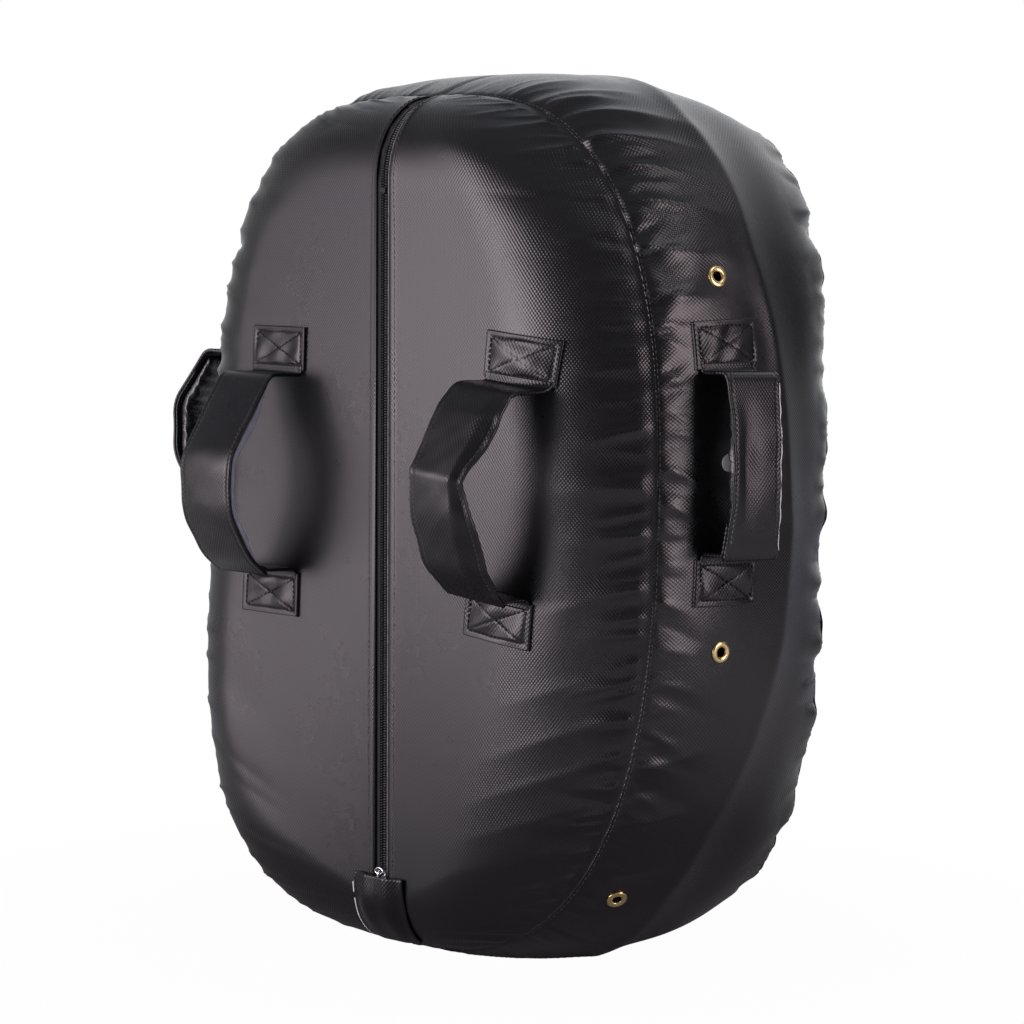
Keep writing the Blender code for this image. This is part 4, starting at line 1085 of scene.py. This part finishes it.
def thick_sheet(name, middle, normal, over, thickness, finish, flat, grooves=0.0):
    """A closed strap round a middle surface; over runs from -1 to 1 across its width."""
    edge = np.clip((np.abs(over) - 0.97) / 0.03, 0, 1)
    swell = np.sqrt(1 - 0.96 * edge**2)
    half = (np.asarray(thickness) / 2)[..., None] * swell
    line = grooves * near(np.abs(over), 0.022, SEWN_LINE)
    upper = middle + normal * (half - line)[..., None]
    lower = middle - normal * half[..., None]
    rings = np.concatenate([upper, lower[:, ::-1]], axis=1)
    flat = np.concatenate([flat, flat[:, ::-1]], axis=1)
    return add_loft(name, rings, finish, flat)


FLAP_ROWS = 48
flap_over = np.linspace(-1, 1, 61)
flap_z = np.sin(math.pi / 2 * np.linspace(0, 1, FLAP_ROWS))
flap_z = FLAP_TOP + 0.002 + (FLAP_FOOT + 0.002 - FLAP_TOP) * flap_z
flap_level = SLIDER_REST - stop_gap
flap_lift = smooth(flap_level - flap_z, 0, flap_level - FLAP_FOOT)
flap_lift = FLAP_CLEARANCE + (FLAP_FOOT_LIFT - FLAP_CLEARANCE) * flap_lift + FLAP_THICKNESS / 2
from_top = (FLAP_TOP - flap_z) / (FLAP_TOP - FLAP_FOOT)
down = from_top[:, None]
wave = 0.0009 * np.sin(2.6 * flap_over + 5.0 * down)
wave = wave + 0.0011 * np.abs(flap_over) ** 3 * np.sin(9 * down + 1.0)
drape = 1 - 0.80 * smooth(np.abs(flap_over), 0.35, 0.95)
heights, across = np.meshgrid(flap_z, FLAP_WIDTH / 2 * flap_over, indexing="ij")
flap_middle = back_surface(across, heights, flap_lift[:, None] * drape + 0.6 * wave * (1 - down) + 0.0006)
flap_normal = grid_normals(flap_middle, np.array([0, -1.0, -0.3]))
flat = stacked(across, heights)
thick = np.full(FLAP_ROWS, FLAP_THICKNESS)
flap = thick_sheet("flap", flap_middle, flap_normal, flap_over, thick, STRAP, flat)
settle(flap, "zip_garage_flap", "vinyl", "zip_garage_flap")
# Pale beads in two runs along the flap's left edge: a painted highlight where light catches that edge.
for number, (start, end) in enumerate(((0.10, 0.30), (0.36, 0.94))):
    rows = (from_top > start) & (from_top < end)
    line = flap_middle[rows, 0] + flap_normal[rows, 0] * 0.0004
    settle(bead(f"flap_raw_{number}", line, 0.0006, RAW_EDGE_AND_HIGHLIGHT), "zip_garage_flap", "vinyl")

# Ends of the zip tape, sewn in under the seam
TAPE_END_DEPTH = 0.0020
TAPE_END_THICKNESS = 0.0008
tape_over = np.linspace(-1, 1, 9)
tape_turn = np.linspace(math.pi / 14, 0, 24)
for sign, word in ((1, "top"), (-1, "foot")):
    heights = sign * slot_top * np.cos(tape_turn)[:, None] + 0 * tape_over
    across = (ZIP_SLOT / 2 + 0.0008) * tape_over + 0 * heights
    middle = zip_surface(across, heights, -TAPE_END_DEPTH)
    normal = grid_normals(middle, np.array([0, -1.0, 0.5 * sign]))
    thick = np.full(len(tape_turn), TAPE_END_THICKNESS)
    flat = stacked(across, heights)
    piece = thick_sheet(f"tape_end_{word}", middle, normal, tape_over, thick, TAPE, flat)
    settle(piece, "shell", "zip_tape")


# Fixings
def eyelet_profile():
    """A rolled flange round a tube."""
    outer, hole = EYELET_DIAMETER / 2, EYELET_HOLE / 2
    turn = np.linspace(0, math.pi, 17)
    across = hole + (outer - hole) * (1 - np.cos(turn)) / 2
    roll = zip(across, 0.0001 + (EYELET_CROWN + 0.0002) * np.sin(turn) ** 0.75)
    profile = [(hole, -0.0036), (hole, -0.0004), *roll, (outer - 0.0003, -0.0004)]
    return [*profile, (hole + 0.0005, -0.0004), (hole + 0.0005, -0.0036)][::-1]


def rivet_profile():
    """A low dome."""
    cap = RIVET_DIAMETER / 2
    turn = np.linspace(0, math.pi / 2, 13)[1:]
    dome = zip(cap * np.sin(turn), FIXING_LIFT + RIVET_CROWN * np.cos(turn) ** 0.8)
    return [(0.0, FIXING_LIFT + RIVET_CROWN), *dome, (cap * 0.97, -0.0003), (0.0, -0.0003)]


for node, place in fixings.items():
    if node.startswith("eyelet"):
        name, profile, finish, slot = node.replace("eyelet", "grommet"), eyelet_profile(), BRASS, "brass"
    else:
        name, profile, finish, slot = node.replace("cap_rivet", "rivet"), rivet_profile(), RIVET, "rivet"
    settle(turned(name, profile, place, finish), "shell", slot, node)
for name, node in frame["nodes"].items():
    if name.startswith("washer"):
        node.material_slots[0].material = BRASS


# Sewn ends of the straps
PATCH_BORDER = 0.0038
GROOVE_WIDTH = 0.0008
along_steps = np.concatenate([[-1.06, -1.02], np.linspace(-1, 1, 41), [1.02, 1.06]])
over_steps = np.concatenate([[-1.04, -1.015], np.linspace(-1, 1, 61), [1.015, 1.04]])


def sewn_end(name, seed):
    """A strap end sewn down in a box with a cross: raised border, groove under the thread, soft middle."""
    random = np.random.default_rng(seed)
    surface = patch_surface(name)
    half_long, half_wide = PATCH_LENGTH / 2, PATCH_WIDTH[name.split("_")[0]] / 2
    long_steps, wide_steps = np.meshgrid(along_steps, over_steps, indexing="ij")
    along, over = np.clip(long_steps, -1, 1) * half_long, np.clip(wide_steps, -1, 1) * half_wide
    inset = np.minimum(half_long - np.abs(along), half_wide - np.abs(over))
    box_long, box_wide = half_long - PATCH_BORDER, half_wide - PATCH_BORDER
    lift = PATCH_THICKNESS - 0.0004 * near(inset, GROOVE_WIDTH, PATCH_BORDER)
    for sign in (-1, 1):
        cross = (along / box_long - sign * over / box_wide) / math.hypot(1 / box_long, 1 / box_wide)
        lift -= 0.0003 * near(cross, GROOVE_WIDTH) * (inset > PATCH_BORDER)
    lift += 0.0003 * smooth(inset, PATCH_BORDER, PATCH_BORDER + 0.006)
    for _ in range(4):
        angle, phase, pitch = (random.uniform(*ends) for ends in ((0, math.pi), (0, 6), (0.014, 0.030)))
        ahead = along * math.cos(angle) + over * math.sin(angle)
        lift += 0.00024 * np.sin(2 * math.pi * ahead / pitch + phase) * smooth(inset, 0.001, 0.006)
    lift += 0.0001 * near(inset, 0.0009)
    outside = (np.abs(long_steps) > 1.001) | (np.abs(wide_steps) > 1.001)
    under = (np.abs(long_steps) > 1.03) | (np.abs(wide_steps) > 1.02)
    lift = np.where(under, -0.0004, np.where(outside, PATCH_THICKNESS * 0.55, lift))
    points = surface(along * (1 + 0.012 * outside), over * (1 + 0.008 * outside), lift)
    back = name.startswith("back")
    facing = np.array([0, -1.0, 0]) if back else unit(points.mean(axis=(0, 1)) * [1, 0, 0])
    ahead, aside = points[21, 20] - points[20, 20], points[20, 21] - points[20, 20]
    faces = grid_faces(*points.shape[:2], flip=np.cross(aside, ahead) @ facing >= 0).tolist()
    piece = add_mesh(f"sewn_{name}", points, faces, PATCH, stacked(over, along))
    settle(piece, "shell", "vinyl", f"handle_{name}_end")
    corners = np.array([(-1, -1), (-1, 1), (1, 1), (1, -1)]) * (box_long, box_wide)
    t = np.linspace(0.02, 0.98, 30)[:, None]
    threads = []
    for first, second in ((0, 1), (1, 2), (2, 3), (3, 0), (0, 2), (1, 3)):
        along, over = (corners[first] + (corners[second] - corners[first]) * t).T
        path, above = (surface(along, over, np.full(len(t), PATCH_THICKNESS + up)) for up in (0.0001, 0.0011))
        threads.append((path, unit(above - path)))
    sewing = stitches(f"stitch_{name}", threads, DARK_THREAD, *PATCH_STITCH)
    settle(sewing, "shell", "vinyl")


for seed, name in enumerate(patches):
    sewn_end(name, 40 + seed)


# Straps
def rounded_line(corners, radii, spacing=0.0016):
    """A polyline with eased corners, sampled evenly; its points and the length at each."""
    corners = np.array(corners, float)
    t = np.linspace(0, 1, 12)[:, None]
    made = [corners[:1]]
    for last, corner, following, radius in zip(corners, corners[1:], corners[2:], radii):
        before, after = last - corner, following - corner
        cut = min(radius, 0.45 * np.linalg.norm(before), 0.45 * np.linalg.norm(after))
        made.append(corner + cut * (unit(before) * (1 - t) ** 2 + unit(after) * t**2))
    made = np.concatenate([*made, corners[-1:]])
    lengths = run_along(made)
    spots = np.linspace(0, lengths[-1], int(lengths[-1] / spacing) + 2)
    return read_at(spots, lengths, made), spots


STRAP_OVER = np.concatenate([[-1, -0.992, -0.975], np.linspace(-0.95, 0.95, 39), [0.975, 0.992, 1]])


class Handle:
    """A handle's own axes and lengths, from its hinges."""

    def __init__(self, name):
        self.name = name
        ends = (np.array(joints[f"{name}{word}_fold"]["pos_m"]) for word in ("", "_lower", "_grip"))
        self.upper, self.lower, self.fold = ends
        self.along = unit(self.upper - self.lower)
        self.outward = unit(self.fold - self.upper)
        self.across = np.cross(self.along, self.outward)
        self.span = float(np.linalg.norm(self.upper - self.lower))
        self.leg = float(np.linalg.norm(self.fold - self.upper))
        self.rise = GRIP_RISE[name]
        self.half = STRAP_WIDTH[name.split("_")[0]] / 2
        self.body = f"handle_{name}_grip"
        self.side = name.startswith("side")
        self.way = np.sign(self.across[1]) if self.side else 1.0
        self.bent = name == "back_right"
        self.tuck = 0.009 if self.bent else 0.003
        self.arch = GRIP_LINES.get(name, ARCH)
        self.bends = [0.010] * (len(self.arch) - 2)
        if self.bent:
            self.bends[:2] = 0.005, 0.0016

    def line(self):
        """The grip's corners, along the strap and outwards."""
        corners = [(-share * self.span, self.leg + high * self.rise) for share, high in self.arch]
        return [(0, 0.5 * self.leg), *corners[:-1], (-self.span, self.leg - self.tuck)]

    def place(self, over, along, rise):
        over, along, rise = np.broadcast_arrays(over, along, rise)
        spot = over[..., None] * self.across + along[..., None] * self.along + rise[..., None] * self.outward
        return self.upper + spot


def strap_root(handle, end):
    """The strap from its sewn end, up the fold and half way up its leg."""
    over = STRAP_OVER * handle.half
    sign = 1 if end == "upper" else -1
    base = 0.0 if end == "upper" else -handle.span
    edge = np.full_like(over, -sign * (PATCH_LENGTH / 2 - 0.0035))
    surface = patch_surface(f"{handle.name}_{end}")
    lift = np.full_like(over, PATCH_THICKNESS * 0.75)
    mirror = 1 if handle.across @ (surface(0, 0.01, 0.0) - surface(0, -0.01, 0.0)) > 0 else -1
    start = surface(edge, mirror * over, lift)
    ahead = unit(surface(edge - sign * 0.004, mirror * over, lift) - start)
    first = handle.place(over, base, LEG_START)
    t = np.linspace(0, 1, 22)[:, None, None]
    pull = 0.0058
    bend = start * (1 - t) ** 3 + 3 * (start + ahead * pull) * t * (1 - t) ** 2
    bend = bend + 3 * (first - handle.outward * pull) * t**2 * (1 - t) + first * t**3
    (last_along, last_rise), (_, low) = handle.line()[-2:]
    lean = (last_along + handle.span) / (last_rise - low)

    def up_leg(rise):
        return handle.place(over, base + lean * max(rise - low, 0) * (end == "lower"), rise)

    top = low + 0.004 if end == "lower" else handle.leg * 0.55
    heights = np.linspace(LEG_START, top, 16)[1:]
    thickness = np.full(len(t) + len(heights), LEG_THICKNESS)
    if end == "lower":
        cap = np.linspace(0.15, 1.0, 7)
        heights = np.concatenate([heights, top + LEG_THICKNESS / 2 * cap])
        thickness = np.concatenate([thickness, LEG_THICKNESS * np.sqrt(1 - 0.98 * cap**2)])
    middle = np.concatenate([bend, np.stack([up_leg(rise) for rise in heights])])
    normal = grid_normals(middle, sign * handle.along + 0.6 * handle.outward)
    flat = stacked(over, run_along(middle[:, 20])[:, None])
    name = f"strap_{handle.name}_{end}"
    piece = thick_sheet(name, middle, normal, STRAP_OVER, thickness, STRAP, flat, 0.0004)
    body = f"handle_{handle.name}_{end}_leg"
    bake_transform(piece)
    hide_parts(body)


WRAP = 0.0026


def grip_path(handle):
    line = [np.array(corner) for corner in handle.line()]
    end = line.pop()
    last = unit(end - line[-1])
    angles = np.linspace(math.atan2(-last[0], last[1]), math.radians(168), 8)
    wrap = [end + WRAP * np.array([math.cos(angle), math.sin(angle)]) for angle in angles]
    return rounded_line(line + wrap, [0.006, *handle.bends] + [0.0001] * len(wrap))


def hump_along(run):
    """How freely a grip's section moves: not at all at its ends."""
    return np.sin(math.pi * np.clip((run / run[-1] - 0.10) / 0.84, 0, 1)) ** 0.6


def strap_form(handle, run):
    """How a grip's section leaves the flat: outwards, and across the strap."""
    over = STRAP_OVER[None]
    hump = hump_along(run)[:, None]
    if handle.bent:
        bend = near((run / run[-1])[:, None], 0.14, 0.46)
        curl = smooth(over, 0.42, 1.0)
        lift = -0.0080 * curl * (1 - 0.5 * bend) + 0.0010 * (1 - over**2)
        crumple = rolling(run[:, None] + 0.012 * over, 91, 0.034, 0.31)
        crumple = crumple + 0.5 * rolling(run[:, None] - 0.009 * over, 92, 0.015, 0.31)
        return hump * (lift + 0.0011 * curl * crumple), -0.0090 * bend * smooth(over, 0.1, 1.0)
    if handle.side:
        over = handle.way * over
        lift = 0.0012 - 0.0028 * hump**2 * near(over, 0.38, -0.24)
        shift = 0.0050 * smooth(-over, 0.0, 1.0) - 0.0045
        return hump * (lift + 0.0009 * near(over, 0.05, -0.95)), handle.way * hump * shift
    return hump * (0.0014 * (1 - over**2) + 0.0008 * near(over, 0.05, 0.95)), 0.0 * hump * over


def waves(random, place, heights, pitches):
    """One slow wave of a strap."""
    height, pitch, phase = (random.uniform(*ends) for ends in (heights, pitches, (0, 6)))
    return height * np.sin(2 * math.pi * place / pitch + phase)


def strap_grip(handle, seed):
    """The strap over the hand; its lengths, middle and normals."""
    random = np.random.default_rng(seed)
    path, run = grip_path(handle)
    over = STRAP_OVER * handle.half
    hump = hump_along(run)[:, None]
    edges = sum(waves(random, run, (0.0001, 0.0003), (0.02, 0.05)) for _ in range(3))
    slants = [run[:, None] + slant * over[None] for slant in (-0.8, 0.5, 1.1)]
    ripple = sum(waves(random, place, (0.00004, 0.00012), (0.018, 0.045)) for place in slants)
    tangent = unit(np.gradient(path, axis=0))
    away = stacked(tangent[:, 1], -tangent[:, 0])[:, None]
    lift, shift = strap_form(handle, run)
    spots = path[:, None] + away * (lift + ripple * hump)[..., None]
    spread = over[None] * (1 + edges[:, None] / handle.half * hump) + shift
    middle = handle.place(spread, spots[..., 0], spots[..., 1])
    normal = grid_normals(middle, away[..., :1] * handle.along + away[..., 1:] * handle.outward)
    flat = stacked(over, run[:, None])
    thickness = np.full(len(run), STRAP_THICKNESS)
    name = f"strap_{handle.name}_grip"
    piece = thick_sheet(name, middle, normal, STRAP_OVER, thickness, STRAP, flat, 0.0006)
    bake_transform(piece)
    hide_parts(handle.body)
    return run, middle, normal


def strap_edges(handle, run, middle, normal):
    """Thread along both edges of the grip, and the cut edge of a side strap's cloth."""
    share = run / run[-1]
    rows = (share > 0.17) & (share < 0.92)
    inner, finish = ((-0.90, -0.83), PALE_THREAD_AND_HIGHLIGHT) if handle.side else ((-SEWN_LINE,), THREAD)
    for word, places, finish in (("inner", inner, finish), ("outer", (SEWN_LINE,), THREAD)):
        columns = [int(np.argmin(np.abs(STRAP_OVER - handle.way * place))) for place in places]
        lines = [(middle[rows, k] + normal[rows, k] * THREAD_LIFT, normal[rows, k]) for k in columns]
        sewing = stitches(f"stitch_{handle.name}_{word}", lines, finish, *STRAP_STITCH)
        settle(sewing, handle.body, "vinyl")
    if handle.name == "side_right":
        column = -1 if handle.way > 0 else 0
        rows = (share > 0.12) & (share < 0.955)
        fray = np.sin(2 * math.pi * run[rows] / 0.019) * np.sin(2 * math.pi * run[rows] / 0.047)
        line = middle[rows, column] + normal[rows, column] * 0.0007
        line = line + handle.across * (handle.way * 0.0006 * fray)[:, None]
        settle(bead(f"raw_{handle.name}", line, 0.00055, RAW_EDGE_AND_HIGHLIGHT), handle.body, "vinyl")


def grip_pad(handle, run, middle, normal):
    """The foam strip under the grip; the back left strap leaves its edge open, the others fold under it."""
    share = run / run[-1]
    opened = handle.name == "back_left"
    first, last, margin = (0.12, 0.93, 0.0014) if opened else (0.17, 0.88, 0.0060)
    keep = (share > first) & (share < last)
    t = (share[keep] - first) / (last - first)
    thickness = PAD_THICKNESS * np.clip(np.sin(math.pi * t), 0.02, 1) ** 0.4
    if opened:
        thickness = thickness * (0.85 + 0.95 * near(t, 0.13, 0.20) + 0.7 * near(t, 0.10, 0.84))
    turns = turns_of(48)
    deep = (signed_power(np.sin(turns), 0.5) - 1) / 2

    def around(extra, crumple):
        over = signed_power(np.cos(turns), 0.35) * (handle.half - margin + extra) / handle.half
        rings = []
        for points, normals, thick, place in zip(middle[keep], normal[keep], thickness, run[keep]):
            turn = 2 * math.pi * place
            ruck = 1 + np.sin(turn / 0.013 + 4 * over) * np.sin(turn / 0.031 - 2 * over)
            rise = deep * (thick + 2 * extra) + extra + crumple * (deep - 0.1) * ruck - PAD_DROP
            spot, out = (read_at(over, STRAP_OVER, table) for table in (points, normals))
            rings.append(spot + out * rise[:, None])
        return np.array(rings)

    piece = add_loft(f"pad_{handle.name}", around(0.0, 0.0), FOAM)
    settle(piece, handle.body, "soft_foam", f"handle_{handle.name}_pad", soft=0.7)
    if not opened:
        under = add_loft(f"underside_{handle.name}", around(0.0005, 0.0010), FOLDED)
        settle(under, handle.body, "vinyl")


for seed, name in enumerate(GRIP_RISE):
    handle = Handle(name)
    strap_root(handle, "upper")
    strap_root(handle, "lower")
    grip = strap_grip(handle, 60 + seed)
    strap_edges(handle, *grip)
    grip_pad(handle, *grip)

# Floor, light and camera
azimuth, elevation, roll = (math.radians(v) for v in (CAMERA_AZIMUTH, CAMERA_ELEVATION, CAMERA_ROLL))
level_way = Vector((math.sin(azimuth), -math.cos(azimuth), 0))
towards = level_way * math.cos(elevation) + Vector((0, 0, math.sin(elevation)))
right = Vector((math.cos(azimuth), math.sin(azimuth), 0))
above = towards.cross(right)
target = Vector((0, 0, MIDDLE_Z))
camera_data = bpy.data.cameras.new("camera")
camera_data.lens = CAMERA_LENS
camera_data.sensor_width = CAMERA_SENSOR
camera_data.shift_x, camera_data.shift_y = CAMERA_SHIFT
camera = bpy.data.objects.new("camera", camera_data)
bpy.context.scene.collection.objects.link(camera)
level = math.cos(roll) * right + math.sin(roll) * above
upright = math.cos(roll) * above - math.sin(roll) * right
turn = Matrix((level, upright, towards)).transposed().to_4x4()
camera.matrix_world = Matrix.Translation(target + towards * CAMERA_DISTANCE) @ turn
bpy.context.scene.camera = camera


def softbox(name, direction, distance, size, power, tint):
    lamp = bpy.data.lights.new(name, "AREA")
    lamp.shape = "RECTANGLE"
    lamp.size, lamp.size_y = size
    lamp.energy = power
    lamp.color = tint
    obj = bpy.data.objects.new(name, lamp)
    bpy.context.scene.collection.objects.link(obj)
    spot = target + Vector(direction).normalized() * distance
    obj.location = spot
    obj.rotation_euler = (target - spot).to_track_quat("-Z", "Y").to_euler()


softbox("left_softbox", (-0.350, -0.937, 0.08), 1.95, (1.15, 0.9), 20.0, (1.0, 0.885, 0.95))
softbox("wide_softbox", (-0.405, -0.914, 0.08), 2.05, (2.0, 1.5), 27.0, (1.0, 0.885, 0.95))
softbox("far_left_softbox", (-0.99, -0.05, 0.05), 1.95, (2.0, 1.2), 1.5, (0.93, 0.96, 1.0))
softbox("right_softbox", (0.985, 0.140, 0.165), 1.9, (0.75, 0.9), 13.5, (1.0, 0.84, 0.90))
softbox("high_softbox", (0.70, 0.15, 0.78), 1.9, (0.7, 0.45), 3.0, (1.0, 0.90, 0.93))
softbox("back_softbox", (0.08, 0.76, 0.64), 1.9, (1.3, 1.0), 3.0, (1.0, 0.97, 0.98))

# Light seen in reflections: a white room behind the camera's far side, brighter to the right and above
world = bpy.data.worlds.new("studio")
bpy.context.scene.world = world
made = Nodes(world)
made.tree.nodes.clear()
paths = made.add("ShaderNodeLightPath").outputs
way = made.spot("Generated")
room = made.ramp(made.vector("DOT_PRODUCT", way, towards), -1.0, -0.28, 1.0, 0.0)
flank = made.ramp(made.vector("DOT_PRODUCT", way, right), -0.6, 0.5, 0.65, 1.75)
seen = made.math("MAXIMUM", paths["Is Glossy Ray"], paths["Is Transmission Ray"])
backdrop = made.math("POWER", room, 2.0)
overhead = made.ramp(made.parts(way)[2], 0.10, 0.75, 0.05, 0.30)
glow = made.math("ADD", made.math("MULTIPLY", backdrop, flank), overhead)
reflected = made.math("MULTIPLY", seen, glow)
spread = made.math("MULTIPLY", made.math("SUBTRACT", 1.0, seen), 0.30)
strength = made.math("MAXIMUM", paths["Is Camera Ray"], made.math("ADD", reflected, spread))
whiteness = made.math("MAXIMUM", paths["Is Camera Ray"], backdrop)
tint = made.mix(whiteness, (0.84, 0.88, 1.0), (1.0, 1.0, 1.0))
background = made.add("ShaderNodeBackground", Color=tint, Strength=strength)
made.add("ShaderNodeOutputWorld", Surface=background.outputs[0])

# Floor: paper that is white to the camera, with a shadow round the shield; painted shade darkens it near the
# shield and a painted glow rings it in reflections
FLOOR_RADIUS = 6.0
FLOOR_SIDES = 96
ring_reach = FLOOR_RADIUS * np.linspace(0.02, 1, 40) ** 2
ring_turns = turns_of(FLOOR_SIDES)
floor_points = [(r * math.cos(a), r * math.sin(a), -FLOOR_DROP) for r in ring_reach for a in ring_turns]
floor_faces = grid_faces(len(ring_reach), FLOOR_SIDES, wrap=True).tolist() + [list(range(FLOOR_SIDES))]
made = Nodes(bpy.data.materials.new("floor"))
spot = made.add("ShaderNodeNewGeometry").outputs["Position"]
far = made.vector("LENGTH", spot)
paths = made.add("ShaderNodeLightPath").outputs
# To reflections the paper glows faintly in a ring round the shield: painted light.
bright = made.math("MULTIPLY", made.ramp(far, 0.30, 0.45, 0.0, 0.16), made.ramp(far, 0.55, 0.9, 1.0, 0.0))
bright = made.math("MULTIPLY", paths["Is Glossy Ray"], bright)
glow = made.math("MULTIPLY", paths["Is Camera Ray"], made.ramp(far, 0.26, 0.55, 0.98, 1.0))
mottle = made.math("MULTIPLY", made.noise(spot, 3.0), 0.1)
# The paper's colour is painted darker near the shield: painted shade, seen in the shield's reflections; the
# mottle over it is random.
tone = made.math("ADD", made.ramp(far, 0.35, 0.9, 0.0, 0.9), mottle)
paper = made.add("ShaderNodeBsdfDiffuse", Color=made.mix(tone, (0.30, 0.30, 0.31), (0.80, 0.80, 0.82)))
blend = made.add("ShaderNodeMixShader")
shaders = (made.math("MAXIMUM", glow, bright), paper.outputs[0], made.add("ShaderNodeEmission").outputs[0])
for socket, value in zip(blend.inputs, shaders):
    made.put(socket, value)
made.put(made.tree.nodes["Material Output"].inputs["Surface"], blend.outputs[0])
floor = add_mesh("floor", floor_points, floor_faces, made.owner)

bpy.context.scene.view_settings.view_transform = "Standard"
